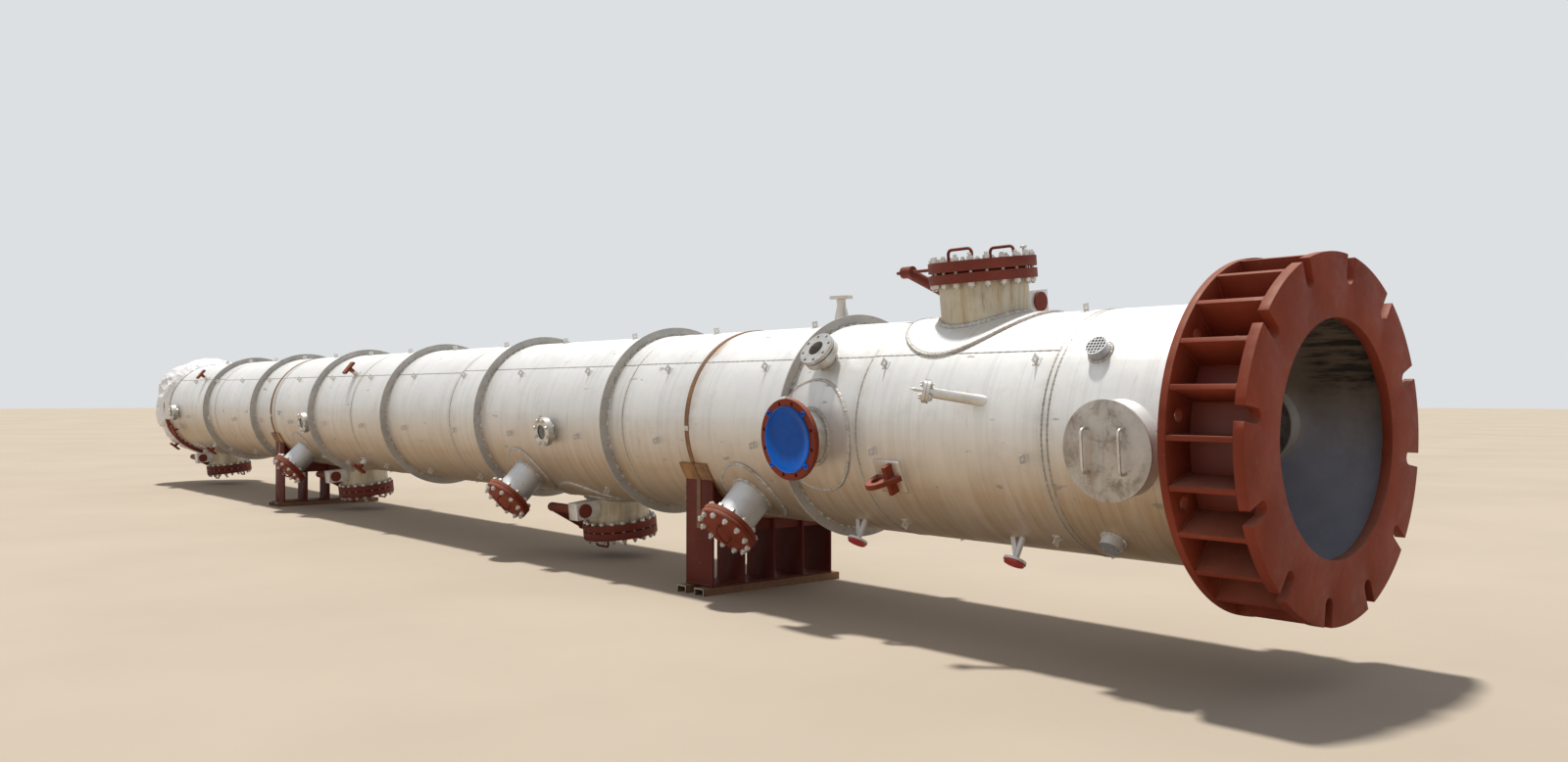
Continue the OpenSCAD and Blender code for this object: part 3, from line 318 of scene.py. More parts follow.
def stainless(name, tone, dirt_and_painted_underside, weld_bands=False, run_marks=0.5, tint=(1.0, 0.99, 0.965),
              painted_underside=(0.43, 0.30, 0.18), red_foot=False):
    """Pickled stainless plate: pale, mottled, with roll marks, grime that has run down, and painted
    light on its flanks and underside, in a colour that the caller gives.
    """
    p = Paint(name)
    clouds = p.noise(1.1, 5, 0.6)
    mottle = p.noise(7.0, 6, 0.65)
    rolls = p.streaks((26.0, 0.7, 0.7), 4, 0.6)
    fine_rolls = p.streaks((140.0, 1.5, 1.5), 3, 0.6)
    base = tuple(tone * share for share in tint)
    light = tuple(value * 1.12 for value in base)
    shade = tuple(value * 0.78 for value in base)
    colour = p.mix(p.between(clouds, 0.35, 0.65), base, light)
    colour = p.over(colour, mottle, 0.52, 0.78, 0.45, shade)
    colour = p.over(colour, rolls, 0.50, 0.75, run_marks, shade)
    colour = p.over(colour, fine_rolls, 0.55, 0.80, 0.25, light)
    # A streaky layer on the flanks and the underside is painted light, in a colour that the caller
    # gives, and rusty water runs down there too
    below = p.between(p.upward(), 0.10, -0.50)
    streaks = p.streaks((17.0, 1.1, 1.1), 5, 0.65, 3.0, 0.4)
    painted_underside_share = p.times(below, p.between(streaks, 0.25, 0.60, 0.74, 1.0))
    colour = p.mix(p.times(painted_underside_share, min(dirt_and_painted_underside * 1.45, 0.95)), colour, painted_underside)
    runs = p.between(p.streaks((24.0, 1.6, 1.6), 6, 0.7, 19.0, 0.3), 0.55, 0.72)
    runs = p.times(runs, p.between(p.upward(), -0.05, -0.55))
    colour = p.mix(p.times(runs, dirt_and_painted_underside * 0.8), colour, (0.27, 0.165, 0.085))
    rust = p.streaks((9.0, 2.2, 2.2), 6, 0.7, 11.0)
    colour = p.over(colour, rust, 0.64, 0.80, dirt_and_painted_underside * 0.7, (0.36, 0.21, 0.11))
    # Grinding marks and scuffs
    scuffs = p.streaks((5.0, 16.0, 16.0), 3, 0.45, 7.0)
    colour = p.over(colour, scuffs, 0.705, 0.74, 0.55, (0.20, 0.195, 0.19))
    rough = p.between(mottle, 0.3, 0.7, 0.42, 0.58)
    if weld_bands:
        # Duller bands along the girth welds, and rust by the saddles' straps
        x = p.axis("X")
        half_band = 0.075
        band = p.near(x, [FOOT_X - height for height in SEAM_HEIGHTS], half_band)
        ragged = p.times(band, p.between(p.noise(14.0), 0.3, 0.6, 0.45, 1.0))
        colour = p.mix(p.times(ragged, 0.38), colour, (0.44, 0.40, 0.35))
        rough = p.math("ADD", rough, p.times(band, 0.08))
        strap = p.near(x, [FOOT_X - height + 0.045 for height in SADDLES], half_band)
        stain = p.times(strap, p.between(p.noise(3.0), 0.40, 0.62))
        colour = p.mix(p.times(stain, 0.65), colour, (0.40, 0.21, 0.085))
    metal = 0.5
    if red_foot:
        painted = p.math("GREATER_THAN", p.axis("X"), FOOT_X - CHAIR_TOP)
        paint = p.mix(p.between(clouds, 0.35, 0.7), PRIMER_RED, (0.17, 0.042, 0.03))
        colour = p.mix(painted, colour, paint)
        metal = p.times(p.math("SUBTRACT", 1.0, painted), 0.5)
    p.set(base_color=colour, metallic=metal, roughness=rough, ior=1.5)
    p.bump((p.noise(2.2, 3, 0.5), 0.010), (rolls, 0.0012), (p.noise(160.0, 2, 0.5), 0.00025))
    return p.material


def stained_plate(name):
    """Stainless plate with brown grey blotches, and rust that has run down from its handles."""
    p = Paint(name)
    clouds = p.noise(5.5, 6, 0.62)
    blotches = p.noise(11.0, 6, 0.70, 0.6)
    runs = p.streaks((16.0, 16.0, 2.2), 5, 0.65, distortion=0.5)
    colour = p.mix(p.between(clouds, 0.36, 0.66), (0.56, 0.53, 0.495), (0.43, 0.395, 0.355))
    colour = p.over(colour, blotches, 0.50, 0.66, 0.85, (0.255, 0.205, 0.165))
    colour = p.over(colour, blotches, 0.40, 0.28, 0.5, (0.66, 0.64, 0.61))
    colour = p.over(colour, runs, 0.56, 0.72, 0.6, (0.34, 0.21, 0.12))
    p.set(base_color=colour, metallic=0.4, roughness=p.between(blotches, 0.3, 0.7, 0.42, 0.68))
    p.bump((blotches, 0.0006), (p.noise(150.0, 2), 0.0003))
    return p.material


def neck_steel(name):
    """Stainless pipe with rust that has run down from the bolts above it."""
    p = Paint(name)
    clouds = p.noise(6.0, 5, 0.6)
    runs = p.streaks((13.0, 13.0, 1.6), 5, 0.65, distortion=0.5)
    thin_runs = p.streaks((42.0, 42.0, 2.5), 4, 0.6, 5.0, 0.3)
    colour = p.mix(p.between(clouds, 0.35, 0.7), (0.60, 0.55, 0.43), (0.47, 0.42, 0.315))
    colour = p.over(colour, runs, 0.50, 0.72, 0.75, (0.45, 0.28, 0.12))
    colour = p.over(colour, thin_runs, 0.58, 0.75, 0.6, (0.19, 0.15, 0.11))
    p.set(base_color=colour, metallic=0.45, roughness=p.between(runs, 0.3, 0.7, 0.42, 0.66))
    p.bump((p.noise(9.0, 3), 0.0015), (p.noise(140.0, 2), 0.0003))
    return p.material


def primer(name, colour, dusty, dust=(0.46, 0.27, 0.19)):
    """Sprayed primer with dust on top, scuffs and a few runs."""
    p = Paint(name)
    clouds = p.noise(2.4, 5, 0.6)
    mottle = p.noise(19.0, 5, 0.65)
    scuffs = p.streaks((9.0, 30.0, 14.0), 4, 0.6)
    stains = p.streaks((6.0, 6.0, 1.8), 5, 0.7, 9.0)
    deep, worn, stained = (tuple(c * share for c in colour) for share in (0.70, 1.35, 0.45))
    base = p.mix(p.between(clouds, 0.34, 0.68), colour, deep)
    base = p.over(base, mottle, 0.55, 0.80, 0.5, worn)
    lying = p.between(p.upward(), 0.15, 0.95)
    settled = p.times(lying, p.between(p.noise(5.0, 6, 0.7), 0.25, 0.75, 0.35, 1.0))
    base = p.mix(p.times(settled, dusty), base, dust)
    base = p.over(base, scuffs, 0.66, 0.76, 0.3, (0.33, 0.16, 0.11))
    base = p.over(base, stains, 0.62, 0.78, 0.4, stained)
    p.set(base_color=base, roughness=p.between(mottle, 0.3, 0.7, 0.48, 0.66))
    p.set(specular_ior_level=0.15)
    p.bump((p.noise(30.0), 0.0007), (p.noise(210.0, 2), 0.00035))
    return p.material


def ring_grey(name):
    """Mill scale and dried grime on the insulation rings."""
    p = Paint(name)
    clouds = p.noise(4.0, 5, 0.65)
    spots = p.noise(26.0, 5, 0.7)
    colour = p.mix(p.between(clouds, 0.35, 0.66), (0.52, 0.50, 0.475), (0.40, 0.385, 0.36))
    colour = p.over(colour, spots, 0.54, 0.74, 0.7, (0.40, 0.31, 0.22))
    colour = p.over(colour, spots, 0.42, 0.30, 0.6, (0.14, 0.125, 0.11))
    # The last ring, at the wrapped end, is primed red
    last_ring = p.near(p.axis("X"), [FOOT_X - RING_HEIGHTS[-1]], 0.02)
    colour = p.mix(p.math("GREATER_THAN", last_ring, 0.1), colour, (0.235, 0.055, 0.038))
    p.set(base_color=colour, metallic=0.15, roughness=p.between(spots, 0.3, 0.7, 0.55, 0.75))
    p.bump((p.noise(12.0), 0.002), (p.noise(120.0, 2), 0.0004))
    return p.material


def rusty(name, orange):
    """Bare steel with light orange and dark brown rust."""
    p = Paint(name)
    patches = p.noise(5.0, 6, 0.68)
    spots = p.noise(48.0, 5, 0.7)
    share = p.between(patches, 0.40, 0.62, 0.15, 0.35 + orange)
    brown = p.mix(p.between(spots, 0.35, 0.7), (0.185, 0.095, 0.052), (0.105, 0.062, 0.043))
    colour = p.mix(share, brown, (0.43, 0.215, 0.075))
    colour = p.over(colour, patches, 0.40, 0.28, 0.55, (0.25, 0.215, 0.19))
    p.set(base_color=colour, metallic=0.2, roughness=p.between(spots, 0.3, 0.7, 0.55, 0.82))
    p.bump((spots, 0.0008), (p.noise(190.0, 3), 0.0004))
    return p.material


def zinc(name, tone):
    """Plated bolts, with rust where the plating has gone."""
    p = Paint(name)
    clouds = p.noise(60.0, 4, 0.6)
    colour = p.mix(p.between(clouds, 0.38, 0.68), (tone, tone * 0.98, tone * 0.93),
                   (tone * 0.66, tone * 0.63, tone * 0.57))
    colour = p.over(colour, p.noise(22.0, 5, 0.7), 0.60, 0.74, 0.7, (0.30, 0.155, 0.065))
    p.set(base_color=colour, metallic=0.55, roughness=p.between(clouds, 0.3, 0.7, 0.34, 0.55))
    p.bump((p.noise(240.0, 2), 0.0002))
    return p.material


def bright_steel(name):
    """Turned stainless, with the fine grooves that the tool leaves."""
    p = Paint(name)
    clouds = p.noise(14.0, 4, 0.6)
    tint = p.noise(7.0, 4, 0.6)
    grooves = p.streaks((230.0, 60.0, 60.0), 2, 0.5)
    colour = p.mix(p.between(clouds, 0.38, 0.70), (0.66, 0.64, 0.61), (0.47, 0.445, 0.41))
    colour = p.over(colour, tint, 0.56, 0.74, 0.55, (0.46, 0.33, 0.19))
    p.set(base_color=colour, metallic=0.8, roughness=p.between(clouds, 0.3, 0.7, 0.26, 0.42))
    p.bump((grooves, 0.00025), (p.noise(30.0, 3), 0.0005))
    return p.material


def weld_metal(name, tone):
    """Weld beads: duller than the plate, with brown heat tint."""
    p = Paint(name)
    spots = p.noise(45.0, 5, 0.7)
    colour = p.mix(p.between(spots, 0.35, 0.68), (tone, tone * 0.96, tone * 0.90),
                   (tone * 0.55, tone * 0.50, tone * 0.44))
    colour = p.over(colour, p.noise(6.0, 4, 0.6), 0.52, 0.72, 0.6, (0.30, 0.20, 0.12))
    p.set(base_color=colour, metallic=0.55, roughness=p.between(spots, 0.3, 0.7, 0.38, 0.62))
    p.bump((spots, 0.0006))
    return p.material


def plastic(name, colour, rough, dust_share=0.35, shine=0.5, painted_light_around=None):
    """Moulded plastic with dust and fine scratches. If a spot is given, the colour is painted
    lighter in a ring round it, a painted reflection of the ground.
    """
    p = Paint(name)
    clouds = p.noise(5.0, 4, 0.6)
    dust = p.between(p.noise(16.0, 6, 0.7), 0.50, 0.78)
    scratches = p.streaks((30.0, 30.0, 190.0), 3, 0.5)
    base = p.mix(p.between(clouds, 0.35, 0.7), colour, tuple(c * 0.78 for c in colour))
    if painted_light_around:
        # A paler ring away from the spot is a painted reflection of the ground
        away = p.node("ShaderNodeVectorMath", {0: p.place, 1: painted_light_around}, operation="DISTANCE")
        rim = p.between(away.outputs["Value"], 0.155, 0.215)
        base = p.mix(rim, base, tuple(c * 1.9 for c in colour))
    base = p.mix(p.times(dust, dust_share), base, (0.42, 0.40, 0.38))
    base = p.over(base, scratches, 0.66, 0.72, 0.2, tuple(c * 1.6 + 0.05 for c in colour))
    p.set(base_color=base, roughness=p.between(dust, 0.0, 1.0, rough, rough + 0.25))
    p.set(specular_ior_level=shine)
    p.bump((p.noise(70.0, 3), 0.0003), (p.noise(9.0, 2), 0.0012))
    return p.material


def skirt_inside(name):
    """Inner face of the skirt: grey blue low down, a painted reflection of the sky,
    brown higher up, and a patch of dark strokes high on the far side near the foot.
    """
    p = Paint(name)
    clouds = p.noise(3.0, 5, 0.6)
    # Grey blue low down is a painted reflection of the sky
    low = p.mix(p.between(clouds, 0.35, 0.7), (0.42, 0.44, 0.53), (0.31, 0.32, 0.39))
    high = p.mix(p.between(clouds, 0.35, 0.7), (0.28, 0.22, 0.17), (0.20, 0.16, 0.12))
    level = p.math("ADD", p.axis("Z"), p.times(clouds, 0.35))
    colour = p.mix(p.between(level, AXIS_Z + 0.02, AXIS_Z + 0.42), low, high)
    colour = p.over(colour, p.noise(38.0, 4, 0.6), 0.70, 0.76, 0.7, (0.08, 0.075, 0.07))
    strokes = p.between(p.streaks((4.5, 30.0, 30.0), 4, 0.6), 0.42, 0.58)
    near_foot = p.between(p.axis("X"), FOOT_X - 0.46, FOOT_X - 0.36)
    far_side = p.between(p.axis("Y"), 0.16, 0.24)
    high_up = p.between(level, AXIS_Z + 0.38, AXIS_Z + 0.46)
    dark_strokes_mask = p.times(p.times(near_foot, far_side), high_up)
    dark_strokes_colour = p.mix(strokes, (0.16, 0.115, 0.08), (0.045, 0.035, 0.03))
    share = p.times(dark_strokes_mask, p.between(strokes, 0.0, 1.0, 0.55, 1.0))
    colour = p.mix(share, colour, dark_strokes_colour)
    p.set(base_color=colour, metallic=0.15, roughness=p.between(clouds, 0.3, 0.7, 0.45, 0.65))
    p.bump((p.times(strokes, dark_strokes_mask), 0.004), (p.noise(60.0, 3), 0.0006))
    return p.material


def glass(name):
    """Thick dark sight glass."""
    p = Paint(name)
    haze = p.between(p.noise(24.0, 5, 0.65), 0.42, 0.75)
    colour = p.mix(haze, (0.020, 0.032, 0.034), (0.16, 0.17, 0.16))
    p.set(base_color=colour, roughness=p.between(haze, 0.0, 1.0, 0.06, 0.30))
    p.set(specular_ior_level=0.8)
    p.bump((p.noise(6.0, 2), 0.0004))
    return p.material


def film(name):
    """White wrapping film: glossy, with painted shade along its folds and some dust."""
    p = Paint(name)
    clouds = p.noise(2.5, 5, 0.6)
    creases_and_shade = p.noise(13.0, 7, 0.72, 0.8)
    colour = p.mix(p.between(clouds, 0.35, 0.7), (0.93, 0.925, 0.92), (0.86, 0.85, 0.84))
    # Grey along the folds is painted shade
    colour = p.over(colour, creases_and_shade, 0.56, 0.74, 0.5, (0.60, 0.58, 0.56))
    colour = p.over(colour, p.noise(3.5, 6, 0.7), 0.56, 0.78, 0.20, (0.62, 0.54, 0.46))
    p.set(base_color=colour, roughness=p.between(creases_and_shade, 0.3, 0.7, 0.24, 0.46))
    p.set(specular_ior_level=0.6)
    p.bump((creases_and_shade, 0.010), (p.noise(60.0, 4, 0.6, 0.5), 0.0022))
    return p.material


PRIMER_RED = (0.250, 0.046, 0.023)
COVER_BLUE = (0.001, 0.085, 0.440)
# The feed nozzle's cover is darkest at this spot above its middle, and painted lighter away from
# it, most in its lower half, as a painted reflection of the ground
FEED_PAINTED_LIGHT_SPOT = tuple(side(*FEED, SHELL_R + 0.19) @ Vector((0.0, -0.060, 0.0)))

# STAINLESS, STAINLESS_SKIRT and STAINLESS_FITTING lay a tan on their flanks and underside, which is
# a painted reflection of the sandy ground
STAINLESS = stainless("stainless_shell", 0.78, 0.60, weld_bands=True)
STAINLESS_SKIRT = stainless("stainless_skirt", 0.78, 0.66, weld_bands=True, red_foot=True)
SKIRT_INSIDE = skirt_inside("skirt_inside")
STAINLESS_FITTING = stainless("stainless_fitting", 0.72, 0.40, run_marks=0.2)
# Its cool tint is a painted reflection of the sky, and the grey blue on its flanks and underside is
# painted shade
STAINLESS_CLEAN = stainless("stainless_clean", 0.66, 0.60, run_marks=0.2, tint=(0.98, 0.99, 1.0),
                            painted_underside=(0.26, 0.265, 0.29))
STAINED_PLATE = stained_plate("stained_plate")
NECK_STEEL = neck_steel("stainless_neck")
BRIGHT = bright_steel("turned_stainless")
RED = primer("red_primer", PRIMER_RED, 0.48)
DARK_RED = primer("dark_red_primer", (0.225, 0.052, 0.037), 0.35)
SADDLE_RED = primer("saddle_primer", (0.140, 0.027, 0.019), 0.26, dust=(0.33, 0.18, 0.13))
RING_GREY = ring_grey("ring_grey")
RUSTY = rusty("rusty_strap", 0.15)
CRADLE_RUST = rusty("cradle_rust", 0.55)
# Dark brown rust with painted shade, for the channels' long sides
CHANNEL_RUST_AND_SHADE = rusty("channel_rust_and_painted_shade", 0.05)
ZINC = zinc("zinc", 0.72)
WELD = weld_metal("weld_metal", 0.42)
FITTING_WELD = weld_metal("fitting_weld_metal", 0.62)
RING_WELD = weld_metal("ring_weld_metal", 0.68)
# Pale zinc grey that is painted light, for the channels' ends
CHANNEL_ENDS_LIT = zinc("channel_ends_painted_light", 0.62)
BLUE = plastic("blue_plastic", COVER_BLUE, 0.20, dust_share=0.02, shine=0.15, painted_light_around=FEED_PAINTED_LIGHT_SPOT)
RED_PLASTIC = plastic("red_plastic", (0.56, 0.022, 0.018), 0.36)
GLASS = glass("sight_glass")
FILM = film("wrapping_film")

# CAD nodes that stay in the picture, by their material
NODE_LOOKS = {
    STAINLESS: ["top_head", "lifting_lug", *COURSES],
    STAINLESS_SKIRT: ["skirt"],
    STAINLESS_CLEAN: ["skirt_vents", "handhole_necks", "drain_nozzles"],
    STAINLESS_FITTING: [
        "access_neck_front", "access_neck_back", "bottom_head", "top_nozzle", "davit_sleeves",
        "relief_nozzle", "relief_nozzle_flange", "relief_braces"],
    STAINED_PLATE: ["access_cover_front", "access_cover_back"],
    NECK_STEEL: ["bottom_outlet", *MANHOLE_NECKS],
    BRIGHT: [
        "earthing_boss", "access_handles", "feed_nozzle", "level_nozzle", "sight_glass_necks",
        "sight_glasses", "probe_nozzle"],
    RED: ["base_plate", "chair_ring", "chair_gussets", "handhole_covers", "handhole_handles"],
    DARK_RED: ["manhole_handles", "manhole_davits", *MANHOLE_COVERS],
    SADDLE_RED: ["base_saddle", "top_saddle"],
    RING_GREY: ["insulation_rings"],
    CRADLE_RUST: ["saddle_cradles"],
    CHANNEL_RUST_AND_SHADE: ["saddle_channels"],
    RUSTY: ["saddle_straps"],
    RED_PLASTIC: ["drain_caps"],
}


def dress(node, material):
    """Gives a CAD node its material and smooth shading across its curved faces."""
    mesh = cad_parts[node].data
    mesh.materials.clear()
    mesh.materials.append(material)
    mesh.polygons.foreach_set("use_smooth", [True] * len(mesh.polygons))
    mesh.set_sharp_from_angle(angle=math.radians(32))


for material, nodes in NODE_LOOKS.items():
    for node in nodes:
        dress(node, material)


def dress_where(node, material, chosen):
    """Gives another material to the faces of a CAD node whose middle and direction pass a test."""
    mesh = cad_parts[node].data
    mesh.materials.append(material)
    last = len(mesh.materials) - 1
    for polygon in mesh.polygons:
        if chosen(polygon.center, polygon.normal):
            polygon.material_index = last


def beyond(azimuth, limit):
    """A test for faces that lie farther out than a limit, towards one side of the column."""
    out = side(0, azimuth).col[2].to_3d()
    return lambda centre, normal: (centre - Vector((0, 0, AXIS_Z))).dot(out) > limit


def faces_inwards(centre, normal):
    """A test for faces that look at the column's axis."""
    return normal.dot(Vector((0, centre.y, centre.z - AXIS_Z))) < -0.3


def on_pad(centre, normal):
    """A test for faces no farther from the column's axis than those of the pads."""
    return math.hypot(centre.y, centre.z - AXIS_Z) <= SHELL_R + PAD_T + 0.002


# Painted flanges on stainless necks, pads like the shell, the painted lug on its bare pad, the
# channels' ends pale as painted light beside their sides in painted shade, and the inside of the
# skirt. A limit lies just short of the faces
SHORT = 0.001
for node, (height, azimuth) in zip(MANHOLE_NECKS, MANHOLES):
    dress_where(node, DARK_RED, beyond(azimuth, MANHOLE_FLANGE - SHORT))
dress_where("handhole_necks", RED, beyond(HANDHOLES[0][1], HANDHOLE_LOW - SHORT))
dress_where("feed_nozzle", RED, beyond(FEED[1], FEED_FACE - FEED_FLANGE_T - SHORT))
for node in (*MANHOLE_NECKS, "handhole_necks", "feed_nozzle"):
    dress_where(node, STAINLESS, on_pad)
dress_where("lifting_lug", RED, lambda centre, normal: not on_pad(centre, normal))
# Pale ends as painted light, against the painted shade of the channels' sides
dress_where("saddle_channels", CHANNEL_ENDS_LIT, lambda centre, normal: abs(normal.y) > 0.9)
dress_where("skirt", SKIRT_INSIDE, faces_inwards)
dress_where("bottom_head", SKIRT_INSIDE, lambda centre, normal: True)


def soften(node, width):
    """Rounds the edges of a CAD node's plates a little, so that they catch the light."""
    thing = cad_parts[node]
    thing.modifiers.new("weld", "WELD").merge_threshold = 1e-5
    bevel = thing.modifiers.new("bevel", "BEVEL")
    bevel.width = width
    bevel.segments = 2
    bevel.limit_method = "ANGLE"
    bevel.angle_limit = math.radians(40)
    bevel.harden_normals = True


# How far the edges of the nodes' plates are rounded
SOFT_EDGES = {
    0.0025: ("base_plate", "chair_ring", "chair_gussets"),
    0.0015: ("base_saddle", "top_saddle"),
    0.003: MANHOLE_COVERS,
    0.002: ("handhole_covers", "lifting_lug", "davit_sleeves", "access_cover_front",
            "access_cover_back"),
}
for width, nodes in SOFT_EDGES.items():
    for node in nodes:
        soften(node, width)


# Pieces that Blender adds round the frame


def round_on_shell(place, radius, surface_r, count):
    """Closed path where a pipe of that radius meets a cylinder on the column's axis."""
    lie = side(*place)
    points = []
    for x, y in circle(count):
        lift = math.sqrt(surface_r ** 2 - (radius * y) ** 2)
        points.append(lie @ Vector((radius * x, radius * y, lift)))
    return points


def rippled(count, radius):
    """Radii of a weld bead laid in small overlapping ripples."""
    ripple = 0.13
    return [radius * (1 + ripple * math.sin(i * 2.4) + ripple * (dice.random() - 0.5))
            for i in range(count)]


def arc_on_shell(height, start, end, radius, count):
    """Path round the column at one height, between two azimuths."""
    steps = [start + (end - start) * i / (count - 1) for i in range(count)]
    return [side(height, azimuth, radius).translation for azimuth in steps]


def ring_bead(piece, height, radius, bead_r, count):
    """A weld bead right round the column."""
    ring = arc_on_shell(height, 0, 360 * (count - 1) / count, radius, count)
    swept(piece, ring, rippled(count, bead_r), sides=7, closed=True)


dice = random.Random(7)

# Girth welds between the courses, and the straight weld of each course
BEAD_R = 0.008
BEAD_MIDDLE = SHELL_R - 0.005
BEAD_STEP = 0.02
girth_welds = Piece()
for height in [SKIRT_SEAM] + SEAM_HEIGHTS:
    ring_bead(girth_welds, height, BEAD_MIDDLE, BEAD_R, 420)
for low, high, azimuth in zip(SEAM_HEIGHTS, SEAM_HEIGHTS[1:], STRAIGHT_SEAMS):
    steps = int((high - low) / BEAD_STEP)
    line = [side(low + (high - low) * i / steps, azimuth, BEAD_MIDDLE).translation
            for i in range(steps + 1)]
    swept(girth_welds, line, rippled(steps + 1, BEAD_R * 0.9), sides=7)
girth_welds.make("girth_welds", WELD, "stainless")

# Fillet welds round the pads and at the foot of each neck
MANHOLE_PAD_R = 0.450
FEED_PAD_R = 0.325
pad_welds = Piece()


def fitting_welds(places, neck_r, root_bead, pad_r=None):
    """Beads at the foot of the necks, and round their pads where they have them."""
    for place in places:
        top = SHELL_R
        if pad_r:
            edge = round_on_shell(place, pad_r + 0.004, SHELL_R + 0.003, 260)
            swept(pad_welds, edge, rippled(len(edge), 0.013), sides=7, closed=True)
            top = SHELL_R + PAD_T
        root = round_on_shell(place, neck_r + 0.003, top + 0.001, 170)
        swept(pad_welds, root, rippled(len(root), root_bead), sides=7, closed=True)


fitting_welds(MANHOLES, neck_r=0.254, root_bead=0.018, pad_r=MANHOLE_PAD_R)
fitting_welds(HANDHOLES, neck_r=0.1365, root_bead=0.013, pad_r=0.240)
fitting_welds([FEED], neck_r=0.1619, root_bead=0.015, pad_r=FEED_PAD_R)
fitting_welds(SIGHT_GLASSES + [LEVEL] + VENTS, neck_r=0.05715, root_bead=0.009)
pad_welds.make("fitting_welds", FITTING_WELD, "stainless")

# Painted fillet welds of the gussets and the chair ring
ring_welds = Piece()
corners = [(BASE_TOP, GUSSET_R), (BASE_TOP, SHELL_R), (CHAIR_LOW, SHELL_R), (CHAIR_LOW, GUSSET_R)]
for i in range(GUSSETS):
    lie = side(0, 360 / GUSSETS * (i + 0.5))
    for y in (-GUSSET_T / 2, GUSSET_T / 2):
        path = []
        for (x0, z0), (x1, z1) in zip(corners, corners[1:]):
            path += [(x0 + (x1 - x0) * k / 12, y, z0 + (z1 - z0) * k / 12) for k in range(12)]
        swept(ring_welds, path, rippled(len(path), 0.0065), sides=6, place=lie)
ring_bead(ring_welds, CHAIR_TOP, SHELL_R, 0.011, 300)
ring_welds.make("base_ring_welds", RED, "red_primer")

# Fillet welds where the saddles' upright plates stand on their soles
SADDLE_HALF = (SHELL_R + 0.012) * math.sin(math.radians(54))
SADDLE_RIBS = 5
RIB_LENGTH = 0.292
SOLE_TOP = 0.060
saddle_welds = Piece()
for height in SADDLES:
    rib_start = FOOT_X - height - RIB_LENGTH / 2
    for i in range(SADDLE_RIBS):
        for flank in (-0.008, 0.008):
            y = -SADDLE_HALF + i * 2 * SADDLE_HALF / (SADDLE_RIBS - 1) + flank
            path = [(rib_start + RIB_LENGTH * k / 16, y, SOLE_TOP) for k in range(17)]
            swept(saddle_welds, path, rippled(len(path), 0.006), sides=6)
saddle_welds.make("saddle_welds", SADDLE_RED, "dark_primer")

# Stitch welds along both faces of the insulation rings, which stop at the large pads
RING_T = 0.010
ring_gaps = [(place, MANHOLE_PAD_R + 0.02) for place in MANHOLES] + [(FEED, FEED_PAD_R + 0.02)]


def turn_between(azimuth, other):
    """Degrees from one azimuth to another, the short way round."""
    return (azimuth - other + 540) % 360 - 180


def clear_of_gaps(height, azimuth):
    """Whether a place on the shell lies outside the gaps of the rings."""
    for (spot_height, spot_azimuth), reach in ring_gaps:
        across = math.radians(turn_between(azimuth, spot_azimuth)) * SHELL_R
        if math.hypot(height - spot_height, across) < reach:
            return False
    return True


stitches = Piece()
for ring_height in RING_HEIGHTS:
    for face in (-1, 1):
        azimuth = 0.0
        while azimuth < 356:
            # A run of weld of some degrees, then a gap
            run = dice.uniform(2.2, 5.0)
            height = ring_height + face * (RING_T / 2 + 0.002)
            if clear_of_gaps(height, azimuth + run / 2):
                line = arc_on_shell(height, azimuth, azimuth + run, SHELL_R + 0.002, 14)
                lumps = [0.0115 * (0.75 + 0.4 * dice.random()) for _ in line]
                lumps[0] = lumps[-1] = 0.004
                swept(stitches, line, lumps, sides=7)
            azimuth += run + dice.uniform(0.8, 5.5)
stitches.make("ring_stitch_welds", RING_WELD, "stainless")

# Insulation clips: an angle with a hole in the leg that stands out


def loose_centres(node):
    """Middle of each separate solid of a CAD node."""
    mesh = bmesh.new()
    mesh.from_mesh(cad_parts[node].data)
    bmesh.ops.remove_doubles(mesh, verts=mesh.verts, dist=1e-6)
    seen = set()
    centres = []
    for vert in mesh.verts:
        if vert in seen:
            continue
        seen.add(vert)
        group = [vert]
        for item in group:
            for edge in item.link_edges:
                other = edge.other_vert(item)
                if other not in seen:
                    seen.add(other)
                    group.append(other)
        spots = [item.co for item in group]
        centres.append((Vector(map(min, *spots)) + Vector(map(max, *spots))) / 2)
    mesh.free()
    return centres


def holed_plate(piece, half, hole_r, thickness, place):
    """A square plate with a round hole in its middle, centred on local z = 0."""
    steps = 16
    rim = []
    hole = []
    for x, y in circle(steps):
        reach = half / max(abs(x), abs(y))
        rim.append((x * reach, y * reach))
        hole.append((x * hole_r, y * hole_r))
    points = [(x, y, z) for z in (-thickness / 2, thickness / 2) for x, y in rim + hole]
    faces = []
    back = 2 * steps
    for i in range(steps):
        j = (i + 1) % steps
        faces += [
            (i, steps + i, steps + j, j),
            (back + i, back + j, back + steps + j, back + steps + i),
            (i, j, back + j, back + i),
            (steps + j, steps + i, back + steps + i, back + steps + j)]
    piece.add(points, faces, place, smooth=False)


def foot_under(centre):
    """Place on the shell's surface under a point outside it."""
    azimuth = math.degrees(math.atan2(centre.y, centre.z - AXIS_Z)) - ROLL
    return side(FOOT_X - centre.x, azimuth, SHELL_R)


